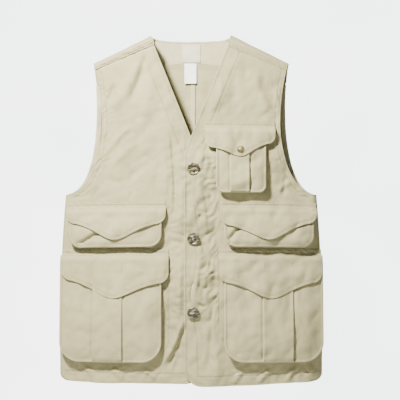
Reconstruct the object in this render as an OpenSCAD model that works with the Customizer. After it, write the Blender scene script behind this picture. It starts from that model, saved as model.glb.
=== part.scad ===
// Hunting and fishing vest with bellows pockets, hanging from its shoulders.
// The front faces -Y, the wearer's left side is +X, and +Z is up.
// The origin is where a hanger carries it: the middle of the neck, level with the two neck points.
// Left and right are the wearer's. The left front laps over the right front and buttons to it.

/* [Body] */
// Half the distance between the two neck points
neck_half = 88; // [84:1:92]
// Half the width across the shoulder ends
shoulder_half = 211; // [207:1:214]
// Height that the shoulder drops from the neck point to its end
shoulder_drop = 60; // [56:1:64]
// Height of the point of the V neck below the neck points
neck_depth = 221; // [216:1:226]
// Height of the armhole's lowest point below the neck points
pit_drop = 342; // [338:1:346]
// Half the width between the armholes' lowest points
pit_half = 270; // [267:1:272]
// Half the width of the body at its widest, over the lower pockets
side_half = 284; // [282:1:286]
// Height from the neck points to the hem
body_length = 740; // [736:1:746]
// How far the left front runs past the middle
left_lap = 14; // [12:1:16]
// How far the right front runs past the middle, under the left front
right_lap = 24; // [22:1:26]
// Radius of the lower front corners
front_corner = 38; // [30:1:40]

/* [Cloth] */
// Thickness of one layer of twill with its turnings
cloth = 1.5; // [1.2:0.1:1.6]
// Distance between layers that are sewn together
layer_gap = 0.1; // [0.1:0.05:0.2]
// Distance between pieces that move past each other
move_gap = 0.4; // [0.4:0.1:0.5]
// Width of the facings inside the front edges
facing_w = 30; // [26:1:32]
// Width of the armhole facings
armhole_facing_w = 11; // [9:1:12]
// Height of the turned hems
hem_h = 22; // [18:1:24]

/* [Hang] */
// Radius of the curve that the front hangs in
front_r = 1000; // [990:5:1020]
// Radius of the curve that the back hangs in
back_r = 1100; // [1090:5:1120]
// How far the front's middle stands in front of the hanger at the neck
front_y = 34; // [33:1:36]
// How far the back's middle stands behind the hanger at the neck
back_y = 32; // [31:1:34]
// Forward lean of the hanging front, in degrees
front_tilt = 1.7; // [1.5:0.1:1.9]
// Backward lean of the hanging back, in degrees
back_tilt = 0.9; // [0.8:0.1:1.1]

/* [Pockets] */
// Height between the front and the face of an empty pocket at its mouth
mouth_lift = 6; // [5.5:0.5:7]
// How much the face of the chest pocket leans out from its mouth down, in degrees
chest_lean = 3; // [2.8:0.1:3.4]
// The same for the middle pockets
mid_lean = 5.5; // [5:0.1:6]
// The same for the lower pockets
lower_lean = 2.6; // [2.4:0.1:2.8]
// Width of the folded bellows along a pocket's edge
gusset_w = 6; // [4:0.5:7]
// Height of the seam that holds a flap
heading_h = 5; // [4:0.5:6]
// Gap between a pocket's mouth and its flap seam
mouth_drop = 8; // [7:0.5:10]

/* [Fastenings] */
// Radius of the front buttons
button_r = 13; // [12.5:0.25:13.5]
// Thickness of the front buttons
button_t = 3.4; // [3:0.1:3.6]
// Room round each button in the left front
button_room = 0.6; // [0.5:0.1:0.8]
// Further room on the side that the button slips to as the lap opens
button_slip = 3.6; // [3.2:0.1:3.8]
// Radius of the snap's cap
cap_r = 7.8; // [7.4:0.1:8]

/* [Hidden] */

smooth = 720;
round_fn = 64;
khaki = [0.83, 0.80, 0.71];
khaki_dark = [0.76, 0.72, 0.62];
horn = [0.23, 0.18, 0.15];
brass = [0.63, 0.52, 0.32];
label_white = [0.95, 0.95, 0.93];
thread_tan = [0.70, 0.64, 0.52];

// The left front's outside is at 0; the right front hangs inside it by this much.
under = 2 * cloth + layer_gap + 2 * move_gap - 0.3;
v_slope = neck_half / (neck_depth - 3);
seam_in_z = -25;
seam_out = [shoulder_half - 7, -shoulder_drop - 16];
armhole_waist = [shoulder_half - 21, -197];
pit = [pit_half, -pit_drop];
side_low_z = 45 - body_length;
side_corner_r = 16;
side_line_x = side_half - 2;
yoke_seam_z = -62;
yoke_seam_drop = 40;
wall_h = body_length + 140;

// A pocket is [inner x, outer x, top z, bottom z, corner radius, lean, pleat's middle, pleat's width].
chest_bag = [53, 159, -194, -338, 16, chest_lean, 103, 41];
mid_bag_left = [70, 262, -363, -452, 26, mid_lean, 0, 0];
mid_bag_right = [62, 260, -363, -452, 26, mid_lean, 0, 0];
lower_bag_left = [70, 282, -464, -694, 42, lower_lean, 184, 65];
lower_bag_right = [62, 281, -464, -694, 42, lower_lean, 177, 64];

// A flap is [inner x, outer x, inner depth, outer depth, corner radius, tip's x, tip's depth].
chest_lid = [29, 179, 46, 36, 18, 105, 68];
mid_lid_left = [62, 269, 41, 34, 22, 165, 74];
mid_lid_right = [53, 267, 37, 34, 22, 162, 74];
lower_lid_left = [58, 280, 59, 60, 22, 170, 96];
lower_lid_right = [47, 278, 61, 54, 22, 166, 96];

pleat_t = 0.8;
flap_gap = 3.2;
chest_flap_gap = 4.6;
snap_drop = 53;
snap_x = 104;
button_x = 5;
button_zs = [-287, -434, -590];

function bezier(p, n) = [for (i = [0:n]) let (t = i / n, s = 1 - t)
    s * s * s * p[0] + 3 * s * s * t * p[1] + 3 * s * t * t * p[2] + t * t * t * p[3]];
function arc(c, r, a0, a1, n) = [for (i = [0:n]) let (a = a0 + (a1 - a0) * i / n)
    c + r * [cos(a), sin(a)]];
function reversed(p) = [for (i = [len(p) - 1:-1:0]) p[i]];
function along(p, i) = p[min(i + 1, len(p) - 1)] - p[max(i - 1, 0)];
// The points of a line moved sideways by d, to the right of its direction.
function beside(p, d) = [for (i = [0:len(p) - 1]) let (u = along(p, i) / norm(along(p, i)))
    p[i] + d * [u[1], -u[0]]];
function v_x(z) = neck_half + z * v_slope;
function v_z(x) = (x - neck_half) / v_slope;

front_armhole = concat(
    bezier([seam_out, seam_out + [-10, -42], armhole_waist + [-1, 30], armhole_waist], 5),
    bezier([armhole_waist, armhole_waist + [3, -55], pit + [-58, 6], pit], 8));
back_armhole = bezier([[shoulder_half, -shoulder_drop], [shoulder_half - 14, -150],
    [shoulder_half - 12, -pit_drop + 10], pit], 10);
side_line = bezier([pit, pit + [10, -110], [side_line_x + 3, side_low_z + 90],
    [side_line_x, side_low_z]], 6);

// Places children in the frame that the front hangs in.
module front_frame() {
    translate([0, -front_y, 0]) rotate([-front_tilt, 0, 0]) children();
}

// Places children in the frame that the back hangs in.
module back_frame() {
    translate([0, back_y, 0]) rotate([back_tilt, 0, 0]) children();
}

// An outline drawn as seen from the front, as a block through the whole vest.
module block() {
    translate([0, 100, 0]) rotate([90, 0, 0]) linear_extrude(height = 200) children();
}

module front_round(out) {
    translate([0, front_r, 60 - wall_h]) cylinder(r = front_r + out, h = wall_h, $fn = smooth);
}

module back_round(out) {
    translate([0, -back_r, 60 - wall_h]) cylinder(r = back_r + out, h = wall_h, $fn = smooth);
}

// A curved layer of the front, between two distances outside its surface, cut to an outline.
module front_layer(low, high) {
    front_frame() curved_layer(low, high) children();
}

module curved_layer(low, high) {
    intersection() {
        difference() {
            front_round(high);
            translate([0, 0, 1]) front_round(low);
            translate([0, 0, -1]) front_round(low);
        }
        block() children();
    }
}

// Children turned about the front's surface at the height of a pocket's top, so that they lean out.
module leaning(top, lean) {
    translate([0, 0, top]) rotate([-lean, 0, 0]) translate([0, 0, -top]) children();
}

module back_layer(low, high) {
    back_frame() intersection() {
        difference() {
            back_round(high);
            translate([0, 0, 1]) back_round(low);
            translate([0, 0, -1]) back_round(low);
        }
        block() children();
    }
}

// The space between the front and the back, at distances outside their surfaces.
module between(front_out, back_out) {
    intersection() {
        front_frame() front_round(front_out);
        back_frame() back_round(back_out);
        children();
    }
}

// Places a piece on the front, its own Z pointing straight out of the cloth.
module on_front(x, z, out) {
    front_frame() translate([0, front_r, 0]) rotate([0, 0, asin(x / front_r)])
        translate([0, -front_r - out, z]) rotate([90, 0, 0]) children();
}

module mirrored() {
    mirror([1, 0, 0]) children();
}

// Outlines, for the left side

module front_outline(lap) {
    corner = [side_line_x - side_corner_r, -body_length + side_corner_r];
    polygon(concat(
        [[v_x(seam_in_z), seam_in_z]],
        front_armhole,
        side_line,
        arc(corner, side_corner_r, 0, -90, 4),
        arc([front_corner - lap, front_corner - body_length], front_corner, -90, -180, 6),
        [[-lap, v_z(-lap)]]));
}

module front_facing_outline(lap) {
    inner = facing_w - lap;
    slant = facing_w * sqrt(1 + v_slope * v_slope);
    low = hem_h - body_length;
    polygon(concat(
        [[v_x(seam_in_z) + slant, seam_in_z - 11], [v_x(seam_in_z), seam_in_z]],
        [[-lap, v_z(-lap)]],
        arc([front_corner - lap, front_corner - body_length], front_corner, -180, -130, 3),
        [[inner, low - 8], [inner, v_z(-lap) - 6]]));
}

module back_panel_outline() {
    corner = [side_line_x - side_corner_r, -body_length + side_corner_r];
    edge = [for (p = back_armhole) if (p[1] < yoke_seam_z - yoke_seam_drop - 3) p];
    polygon(concat(
        [[0.2, yoke_seam_z]],
        yoke_seam(-move_gap),
        edge,
        side_line,
        arc(corner, side_corner_r, 0, -90, 4),
        [[0.2, -body_length]]));
}

// The yoke's lower seam, from the middle to the armhole, moved up by d.
function yoke_seam(d) = [for (i = [1:6]) let (t = i / 6)
    [t * (shoulder_half - 6), yoke_seam_z - yoke_seam_drop * t * t + d]];

module yoke_outline(d) {
    edge = [for (p = back_armhole) if (p[1] > yoke_seam_z - yoke_seam_drop) p];
    half = concat(
        [[neck_half - 30, -5 - d], [neck_half, -d]],
        [for (p = edge) p - [d, d]],
        reversed(yoke_seam(d)));
    other_half = [for (p = reversed(half)) [-p[0], p[1]]];
    polygon(concat([[0, -6 - d]], half, [[0, yoke_seam_z + d]], other_half));
}

// A strip as wide as w along a line of points, on its right.
module strip(line, w) {
    polygon(concat(line, reversed(beside(line, w))));
}

module bag_outline(bag, inset) {
    r = bag[4] - inset;
    x0 = bag[0] + inset;
    x1 = bag[1] - inset;
    z1 = bag[2] - mouth_drop;
    z0 = bag[3] + inset;
    polygon(concat([[x1, z1], [x0, z1]],
        arc([x0 + r, z0 + r], r, 180, 270, 6),
        arc([x1 - r, z0 + r], r, 270, 360, 6)));
}

// An ogee: level at the flap's tip, then a steep slope that eases off towards the side.
function ogee(t) = 1.3 * t * t / (t * t + 0.3);
function lid_depth(lid, x) = let (
    w = x > lid[5] ? lid[1] - lid[5] : lid[5] - lid[0],
    side = x > lid[5] ? lid[3] : lid[2])
    lid[6] - (lid[6] - side) * ogee(abs(x - lid[5]) / w);

module lid_outline(lid, top) {
    r = lid[4];
    x0 = lid[0] + r;
    x1 = lid[1] - r;
    steps = 16;
    edge = [for (i = [0:steps]) let (x = x0 + (x1 - x0) * i / steps) [x, top - lid_depth(lid, x)]];
    polygon(concat(
        [[lid[1], top], [lid[0], top]],
        arc([x0, edge[0][1] + r], r, 180, 265, 4),
        edge,
        arc([x1, edge[steps][1] + r], r, 275, 360, 4)));
}

// Back

module back_panel() {
    color(khaki) back_layer(-cloth, 0) back_panel_outline();
}

module back_panel_left() {
    back_panel();
}

module back_panel_right() {
    mirrored() back_panel();
}

// The part of the yoke that comes over one shoulder to the seam in front.
module shoulder(out) {
    front_layer(out - cloth, out) polygon([
        [neck_half, 0], [shoulder_half, -shoulder_drop],
        seam_out + [0.4, move_gap], [v_x(seam_in_z) + 0.2, seam_in_z + move_gap]]);
    between(out, 0) block() polygon([
        [neck_half, 0], [shoulder_half, -shoulder_drop],
        [shoulder_half - 0.5 * cloth, -shoulder_drop - cloth], [neck_half - 0.5 * cloth, -cloth]]);
}

module back_yoke() {
    color(khaki) {
        back_layer(-cloth, 0) yoke_outline(0);
        shoulder(0);
        mirrored() shoulder(-under);
    }
}

module yoke_lining() {
    color(khaki_dark) back_layer(-2 * cloth - layer_gap, -cloth - layer_gap) yoke_outline(3);
}

module back_hem() {
    color(khaki_dark) back_layer(-2 * cloth - layer_gap, -cloth - layer_gap)
        translate([-side_half + 26, -body_length]) square([2 * side_half - 52, hem_h]);
}

module back_armhole_facing() {
    line = [for (p = back_armhole) if (p[1] < yoke_seam_z - yoke_seam_drop - 3) p];
    color(khaki_dark) back_layer(-2 * cloth - layer_gap, -cloth - layer_gap)
        strip(line, armhole_facing_w);
}

module back_armhole_facing_left() {
    back_armhole_facing();
}

module back_armhole_facing_right() {
    mirrored() back_armhole_facing();
}

// How far back the front or the back hangs at a point beside the middle.
function front_depth(x, z, out) = let (y = front_r - sqrt(pow(front_r + out, 2) - x * x))
    y * cos(front_tilt) + z * sin(front_tilt) - front_y;
function back_depth(x, z, out) = let (y = sqrt(pow(back_r + out, 2) - x * x) - back_r)
    y * cos(back_tilt) - z * sin(back_tilt) + back_y;

// The wall that joins a front to the back down one side, from the armhole to the hem.
module side_seam(front_out) {
    inside = front_out - cloth - move_gap;
    outside = -cloth - layer_gap;
    low = [side_line_x, side_low_z];
    lean = atan((low[0] - pit[0]) / (pit[1] - low[1]));
    top = pit[1] - armhole_facing_w - 2;
    color(khaki_dark) translate([pit[0] - 2.5, 0, pit[1]]) rotate([0, -lean, 0])
        rotate([90, 0, 90]) linear_extrude(height = 2) polygon([
            [front_depth(pit[0], top, inside), top - pit[1]],
            [back_depth(pit[0], top, outside), top - pit[1]],
            [back_depth(low[0], low[1], outside), low[1] - pit[1]],
            [front_depth(low[0] + 2, low[1], inside), low[1] - pit[1]]]);
}

module side_seam_left() {
    side_seam(0);
}

module side_seam_right() {
    mirrored() side_seam(-under);
}

module size_label() {
    color(label_white) back_layer(-2 * cloth - 3 * layer_gap - 0.5, -2 * cloth - 2 * layer_gap)
        translate([-20, -53]) square([40, 38]);
}

module care_label() {
    color(label_white) back_layer(-2 * cloth - move_gap - 1.3, -2 * cloth - move_gap - 0.9)
        translate([-15, -99]) square([27, 44]);
}

// Fronts

module front_panel_left() {
    color(khaki) difference() {
        front_layer(-cloth, 0) front_outline(left_lap);
        button_rooms();
    }
}

module front_panel_right() {
    color(khaki) mirrored() front_layer(-under - cloth, -under) front_outline(right_lap);
}

// The openings in the left front that the three buttons pass through.
module button_rooms() {
    r = button_r + button_room;
    for (z = button_zs) on_front(button_x, z, -10) {
        cylinder(r = r, h = 20, $fn = round_fn);
        translate([-button_slip, 0, 0]) cylinder(r = r, h = 20, $fn = round_fn);
        translate([-button_slip, -r, 0]) cube([button_slip, 2 * r, 20]);
    }
}

module front_facing_left() {
    color(khaki_dark) difference() {
        front_layer(-2 * cloth - layer_gap, -cloth - layer_gap) front_facing_outline(left_lap);
        button_rooms();
    }
}

module front_facing_right() {
    color(khaki_dark) mirrored()
        front_layer(-under - 2 * cloth - layer_gap, -under - cloth - layer_gap)
            front_facing_outline(right_lap);
}

module front_armhole_facing(out) {
    color(khaki_dark) front_layer(out - 2 * cloth - layer_gap, out - cloth - layer_gap)
        strip(front_armhole, armhole_facing_w);
}

module front_armhole_facing_left() {
    front_armhole_facing(0);
}

module front_armhole_facing_right() {
    mirrored() front_armhole_facing(-under);
}

module front_hem(out, lap) {
    x0 = facing_w - lap + 0.3;
    color(khaki_dark) front_layer(out - 2 * cloth - layer_gap, out - cloth - layer_gap)
        translate([x0, -body_length]) square([side_half - 26 - x0, hem_h]);
}

module front_hem_left() {
    front_hem(0, left_lap);
}

module front_hem_right() {
    mirrored() front_hem(-under, right_lap);
}

module inside_pocket() {
    out = -under - cloth - layer_gap;
    color(khaki_dark) mirrored() front_layer(out - 1, out)
        polygon(concat([[60, -183], [126, -197]], arc([108, -290], 22, 0, -90, 5),
            arc([78, -294], 18, -90, -180, 5)));
}

module front_buttons() {
    color(horn) for (z = button_zs) on_front(button_x, z, move_gap) difference() {
        cylinder(r = button_r, h = button_t, $fn = round_fn);
        translate([0, 0, button_t - 0.9]) cylinder(r = button_r - 2.6, h = 2, $fn = round_fn);
        for (a = [45:90:315]) rotate([0, 0, a]) translate([2.4, 0, -1])
            cylinder(r = 0.9, h = button_t + 2, $fn = 24);
    }
}

module button_threads() {
    color(thread_tan) for (z = button_zs) on_front(button_x, z, -under)
        cylinder(r = 1.4, h = under + move_gap - 0.05, $fn = 24);
}

// Pockets

module pocket_face(bag, base) {
    top = bag[2] - mouth_drop;
    low = base + mouth_lift;
    color(khaki) front_frame() leaning(bag[2], bag[5]) {
        curved_layer(low, low + cloth) bag_outline(bag, 0);
        if (bag[7] > 0) curved_layer(low + 0.5, low + cloth + pleat_t)
            translate([bag[6] - bag[7] / 2, bag[3] + 3]) square([bag[7], top - bag[3] - 3]);
    }
}

module pocket_bellows(bag, base) {
    color(khaki_dark) front_frame() difference() {
        intersection() {
            leaning(bag[2], bag[5]) front_round(base + mouth_lift - move_gap);
            block() difference() {
                bag_outline(bag, 0.5);
                bag_outline(bag, gusset_w);
                translate([bag[0] + gusset_w, bag[2] - 60])
                    square([bag[1] - bag[0] - 2 * gusset_w, 60]);
            }
        }
        translate([0, 0, 1]) front_round(base + layer_gap);
        translate([0, 0, -1]) front_round(base + layer_gap);
    }
}

module flap_seam(lid, bag, base, gap) {
    color(khaki) front_layer(base + layer_gap, base + mouth_lift + gap - 0.3)
        translate([lid[0] + 1, bag[2] + 0.3]) square([lid[1] - lid[0] - 2, heading_h]);
}

module flap(lid, bag, base, gap) {
    low = base + mouth_lift + gap;
    color(khaki) front_frame() leaning(bag[2], bag[5])
        curved_layer(low, low + cloth) lid_outline(lid, bag[2] - move_gap);
}

module chest_pocket_face() {
    pocket_face(chest_bag, 0);
}

module chest_pocket_bellows() {
    pocket_bellows(chest_bag, 0);
}

module chest_flap_seam() {
    flap_seam(chest_lid, chest_bag, 0, chest_flap_gap);
}

module chest_flap() {
    flap(chest_lid, chest_bag, 0, chest_flap_gap);
}

// Places a piece of the snap at a height above the pocket's face or mouth, its Z pointing out.
module snap_place(out) {
    x = snap_x;
    front_frame() leaning(chest_bag[2], chest_lean) translate([0, front_r, 0])
        rotate([0, 0, asin(x / front_r)])
            translate([0, -front_r - mouth_lift - out, chest_bag[2] - snap_drop])
                rotate([90, 0, 0]) children();
}

module snap_cap() {
    color(brass) snap_place(chest_flap_gap + cloth + layer_gap) rotate_extrude($fn = round_fn)
        polygon(concat([[0, 0], [cap_r, 0]], arc([0, -14.4], 16.4, 61.6, 90, 6)));
}

module snap_socket() {
    color(brass) snap_place(chest_flap_gap - layer_gap - 1.4) difference() {
        cylinder(r = 6, h = 1.4, $fn = round_fn);
        translate([0, 0, -1]) cylinder(r = 2.6, h = 4, $fn = 48);
    }
}

module snap_stud() {
    color(brass) snap_place(cloth + pleat_t + layer_gap) {
        cylinder(r = 5, h = 0.5, $fn = round_fn);
        cylinder(r = 1.9, h = 1.8, $fn = 48);
    }
}

module snap_stud_back() {
    color(brass) snap_place(-layer_gap - 0.5) cylinder(r = 4.5, h = 0.5, $fn = round_fn);
}

module mid_pocket_face_left() {
    pocket_face(mid_bag_left, 0);
}

module mid_pocket_bellows_left() {
    pocket_bellows(mid_bag_left, 0);
}

module mid_flap_seam_left() {
    flap_seam(mid_lid_left, mid_bag_left, 0, flap_gap);
}

module mid_flap_left() {
    flap(mid_lid_left, mid_bag_left, 0, flap_gap);
}

module lower_pocket_face_left() {
    pocket_face(lower_bag_left, 0);
}

module lower_pocket_bellows_left() {
    pocket_bellows(lower_bag_left, 0);
}

module lower_flap_seam_left() {
    flap_seam(lower_lid_left, lower_bag_left, 0, flap_gap);
}

module lower_flap_left() {
    flap(lower_lid_left, lower_bag_left, 0, flap_gap);
}

module mid_pocket_face_right() {
    mirrored() pocket_face(mid_bag_right, -under);
}

module mid_pocket_bellows_right() {
    mirrored() pocket_bellows(mid_bag_right, -under);
}

module mid_flap_seam_right() {
    mirrored() flap_seam(mid_lid_right, mid_bag_right, -under, flap_gap);
}

module mid_flap_right() {
    mirrored() flap(mid_lid_right, mid_bag_right, -under, flap_gap);
}

module lower_pocket_face_right() {
    mirrored() pocket_face(lower_bag_right, -under);
}

module lower_pocket_bellows_right() {
    mirrored() pocket_bellows(lower_bag_right, -under);
}

module lower_flap_seam_right() {
    mirrored() flap_seam(lower_lid_right, lower_bag_right, -under, flap_gap);
}

module lower_flap_right() {
    mirrored() flap(lower_lid_right, lower_bag_right, -under, flap_gap);
}

back_panel_left();
back_panel_right();
back_yoke();
yoke_lining();
back_hem();
back_armhole_facing_left();
back_armhole_facing_right();
side_seam_left();
side_seam_right();
size_label();
care_label();
front_panel_left();
front_facing_left();
front_armhole_facing_left();
front_hem_left();
front_panel_right();
front_facing_right();
front_armhole_facing_right();
front_hem_right();
inside_pocket();
front_buttons();
button_threads();
chest_pocket_face();
chest_pocket_bellows();
chest_flap_seam();
chest_flap();
snap_cap();
snap_socket();
snap_stud();
snap_stud_back();
mid_pocket_face_left();
mid_pocket_bellows_left();
mid_flap_seam_left();
mid_flap_left();
lower_pocket_face_left();
lower_pocket_bellows_left();
lower_flap_seam_left();
lower_flap_left();
mid_pocket_face_right();
mid_pocket_bellows_right();
mid_flap_seam_right();
mid_flap_right();
lower_pocket_face_right();
lower_pocket_bellows_right();
lower_flap_seam_right();
lower_flap_right();
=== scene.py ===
"""The vest's looks: cloth, bellows pockets, flaps, stitching, buttons and labels, round the CAD frame."""

import math

import bpy
import numpy as np
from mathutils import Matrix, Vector
from mathutils.bvhtree import BVHTree
from mathutils.geometry import delaunay_2d_cdt


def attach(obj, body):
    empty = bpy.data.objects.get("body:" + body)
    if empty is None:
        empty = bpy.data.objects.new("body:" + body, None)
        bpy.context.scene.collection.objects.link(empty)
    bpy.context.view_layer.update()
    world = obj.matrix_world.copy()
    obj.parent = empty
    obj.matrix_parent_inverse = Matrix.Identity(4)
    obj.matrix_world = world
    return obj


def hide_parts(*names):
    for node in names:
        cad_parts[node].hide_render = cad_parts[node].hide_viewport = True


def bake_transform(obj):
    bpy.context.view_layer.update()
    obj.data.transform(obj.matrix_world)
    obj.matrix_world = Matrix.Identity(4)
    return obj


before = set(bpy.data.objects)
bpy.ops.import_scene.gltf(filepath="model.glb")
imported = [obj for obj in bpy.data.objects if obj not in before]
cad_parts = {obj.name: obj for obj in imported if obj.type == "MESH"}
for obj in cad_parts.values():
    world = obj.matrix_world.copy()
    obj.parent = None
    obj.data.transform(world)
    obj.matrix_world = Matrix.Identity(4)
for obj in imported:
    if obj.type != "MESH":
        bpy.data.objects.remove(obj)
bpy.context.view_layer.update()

# Lengths are in millimetres until a mesh is made.
MM = 0.001
NECK_HALF = 88.0
SHOULDER_HALF = 211.0
SHOULDER_DROP = 60.0
NECK_DEPTH = 221.0
PIT = np.array([270.0, -342.0])
SIDE_LOW = np.array([282.0, -695.0])
HEM_Z = -740.0
LEFT_LAP = 14.0
RIGHT_LAP = 24.0
FRONT_CORNER = 38.0
FRONT_R = 1000.0
BACK_R = 1100.0
FRONT_Y = 34.0
BACK_Y = 32.0
FRONT_TILT = math.radians(1.7)
BACK_TILT = math.radians(0.9)
UNDER = 3.6
MOUTH_LIFT = 6.0
SEAM_IN_Z = -25.0
SEAM_OUT = np.array([204.0, -76.0])
ARCH_H = 17.0
CLOTH = 1.3
V_SLOPE = NECK_HALF / (NECK_DEPTH - 3)
YOKE_SEAM_Z = -62.0
YOKE_SEAM_DROP = 40.0
# How far a lining or a turning lies behind the outside of its cloth.
LINING_OUT = -2.85
FACING_W = 30.0
ARM_FACING_W = 11
HEM_TURN = 21.5
FACING_THICK = 1.1
# How far below a pocket's top its mouth is.
MOUTH_DROP = 8.0


# ---------------------------------------------------------------- outlines

def bezier(p, n):
    """Points along a cubic curve, without its last one."""
    t = np.linspace(0, 1, n, endpoint=False)[:, None]
    p = [np.asarray(q, float) for q in p]
    return (1 - t) ** 3 * p[0] + 3 * (1 - t) ** 2 * t * p[1] + 3 * (1 - t) * t * t * p[2] + t ** 3 * p[3]


def arc(centre, r, a0, a1, n=10):
    a = np.radians(np.linspace(a0, a1, n + 1))
    return np.stack([centre[0] + r * np.cos(a), centre[1] + r * np.sin(a)], 1)


def resampled(points, step, closed=True):
    """The same line with points about step apart, keeping its corners."""
    points = np.asarray(points, float)
    ends = np.roll(points, -1, 0) if closed else points[1:]
    out = []
    for a, b in zip(points, ends):
        n = max(1, int(round(np.linalg.norm(b - a) / step)))
        if np.linalg.norm(b - a) > 1e-6:
            out.append(a + (b - a) * (np.arange(n) / n)[:, None])
    out = np.concatenate(out)
    return out if closed else np.vstack([out, points[-1]])


def evened(points, step):
    """An open line with points exactly evenly spaced along its length."""
    points = np.asarray(points, float)
    along = np.concatenate([[0], np.cumsum(np.linalg.norm(np.diff(points, axis=0), axis=1))])
    at = np.linspace(0, along[-1], max(2, int(round(along[-1] / step)) + 1))
    return np.stack([np.interp(at, along, points[:, k]) for k in range(points.shape[1])], 1)


def sideways(points, d):
    """An open line moved by d to the right of its direction."""
    points = np.asarray(points, float)
    u = np.gradient(points, axis=0)
    u /= np.linalg.norm(u, axis=1)[:, None] + 1e-9
    d = np.asarray(d, float).reshape(-1, 1) if np.ndim(d) else d
    return points + d * np.stack([u[:, 1], -u[:, 0]], 1)


def v_x(z):
    return NECK_HALF + z * V_SLOPE


def v_z(x):
    return (x - NECK_HALF) / V_SLOPE


ARMHOLE_WAIST = np.array([190.0, -197.0])
FRONT_ARMHOLE = np.concatenate([
    bezier([SEAM_OUT, SEAM_OUT + [-10, -42], ARMHOLE_WAIST + [-1, 30], ARMHOLE_WAIST], 16),
    bezier([ARMHOLE_WAIST, ARMHOLE_WAIST + [3, -55], PIT + [-58, 6], PIT], 24)])
BACK_ARMHOLE = bezier([[SHOULDER_HALF, -SHOULDER_DROP], [SHOULDER_HALF - 14, -150],
                       [SHOULDER_HALF - 12, PIT[1] + 10], PIT], 40)
SIDE_LINE = bezier([PIT, PIT + [10, -110], SIDE_LOW + [3, 90], SIDE_LOW], 30)
SIDE_CORNER = np.concatenate([[SIDE_LOW], arc(SIDE_LOW - [16, 29], 16, 0, -90, 6)])


def front_outline(lap):
    """The left front as cut, with the strip along its shoulder that goes in under the yoke."""
    edge = np.concatenate([FRONT_ARMHOLE, SIDE_LINE, SIDE_CORNER,
                           arc([FRONT_CORNER - lap, HEM_Z + FRONT_CORNER], FRONT_CORNER, -90, -180, 10)])
    neck = [[v_x(SEAM_IN_Z) + 3.4, SEAM_IN_Z + 7], [v_x(SEAM_IN_Z), SEAM_IN_Z], [-lap, v_z(-lap)]]
    return np.concatenate([neck, edge[::-1], edge[:1] + [-1, 7]])


# ---------------------------------------------------------------- surfaces

def smooth(t):
    t = np.clip(t, 0, 1)
    return t * t * (3 - 2 * t)


def front_depth(x, z, out):
    y = FRONT_R - np.sqrt((FRONT_R + out) ** 2 - x * x)
    return y * math.cos(FRONT_TILT) + z * math.sin(FRONT_TILT) - FRONT_Y


def back_depth(x, z, out):
    y = np.sqrt((BACK_R + out) ** 2 - x * x) - BACK_R
    return y * math.cos(BACK_TILT) - z * math.sin(BACK_TILT) + BACK_Y


def wave(x, z, seed, low, high, n=18):
    """A smooth random surface about 1 high, made of waves between two wavelengths."""
    rng = np.random.default_rng(seed)
    total = np.zeros_like(x, float)
    for _ in range(n):
        length = low * (high / low) ** rng.random()
        a = rng.random() * 2 * math.pi
        k = 2 * math.pi / length
        total += np.sin(k * (x * math.cos(a) + z * math.sin(a)) + rng.random() * 7) * (length / high)
    return total / math.sqrt(n) * 1.4


def crumple(x, z, seed, low, high):
    """Flat places that meet in crisp creases, about 1 high."""
    return 1.2 * np.sqrt(wave(x, z, seed, low, high) ** 2 + 0.006) - 0.7


def fold(x, z, start, end, high, wide):
    """A ridge in the cloth from start to end, fading at both ends."""
    a, b = np.array(start, float), np.array(end, float)
    u = (b - a) / np.linalg.norm(b - a)
    t = ((x - a[0]) * u[0] + (z - a[1]) * u[1]) / np.linalg.norm(b - a)
    d = (x - a[0]) * u[1] - (z - a[1]) * u[0]
    d = d + 0.12 * np.linalg.norm(b - a) * np.sin(t * 2.6) * 0.4
    ends = smooth(t / 0.3) * smooth((1 - t) / 0.3)
    return high * ends * np.exp(-(d / wide) ** 2)


# Folds of the fronts as seen from the front: start, end, height and width.
FRONT_FOLDS = [
    ((-93, -26), (-136, -152), -4.2, 9), ((-104, -44), (-178, -166), 4.0, 15),
    ((-160, -100), (-184, -150), -3.0, 7), ((-84, -60), (-108, -200), 2.6, 14),
    ((-189, -262), (-118, -190), 2.6, 8), ((-186, -300), (-100, -222), 2.2, 10),
    ((-150, -330), (-70, -262), -2.2, 10), ((-45, -196), (-44, -420), -5.5, 4.5),
    ((-58, -230), (-62, -380), 2.6, 10), ((17, -436), (-8, -566), -3.6, 3.5),
    ((10, -452), (-2, -590), 2.4, 6), ((30, -232), (22, -300), -2.6, 5), ((26, -330), (34, -420), -2.6, 5),
    ((-30, -470), (-34, -640), 2.4, 8), ((44, -600), (26, -720), -2.4, 7),
    ((118, -70), (168, -188), 3.0, 14), ((90, -60), (84, -180), -2.4, 14),
    ((182, -336), (216, -312), 3.0, 7), ((196, -350), (206, -300), -2.2, 6),
    ((180, -110), (186, -230), 2.2, 9), ((70, -90), (30, -190), 2.4, 11),
    ((-12, -592), (-66, -706), 4.6, 6), ((-6, -600), (-56, -712), -3.4, 6),
    ((-20, -640), (-40, -722), -2.6, 6), ((14, -600), (50, -700), 2.4, 10),
    ((20, -300), (-8, -400), 2.0, 9), ((22, -460), (-4, -560), 1.8, 9), ((-14, -300), (-34, -420), 2.2, 9),
    ((-16, -440), (-36, -560), 2.2, 9), ((60, -640), (44, -735), 2.2, 10),
    ((-100, -712), (-70, -734), 3.0, 6), ((-170, -708), (-140, -736), 3.0, 7),
    ((-226, -704), (-204, -734), 2.6, 7), ((110, -708), (84, -736), 3.0, 6),
    ((168, -706), (138, -736), 3.2, 7), ((222, -704), (196, -736), 3.0, 6),
    ((262, -700), (244, -734), 2.4, 6),
]


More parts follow.
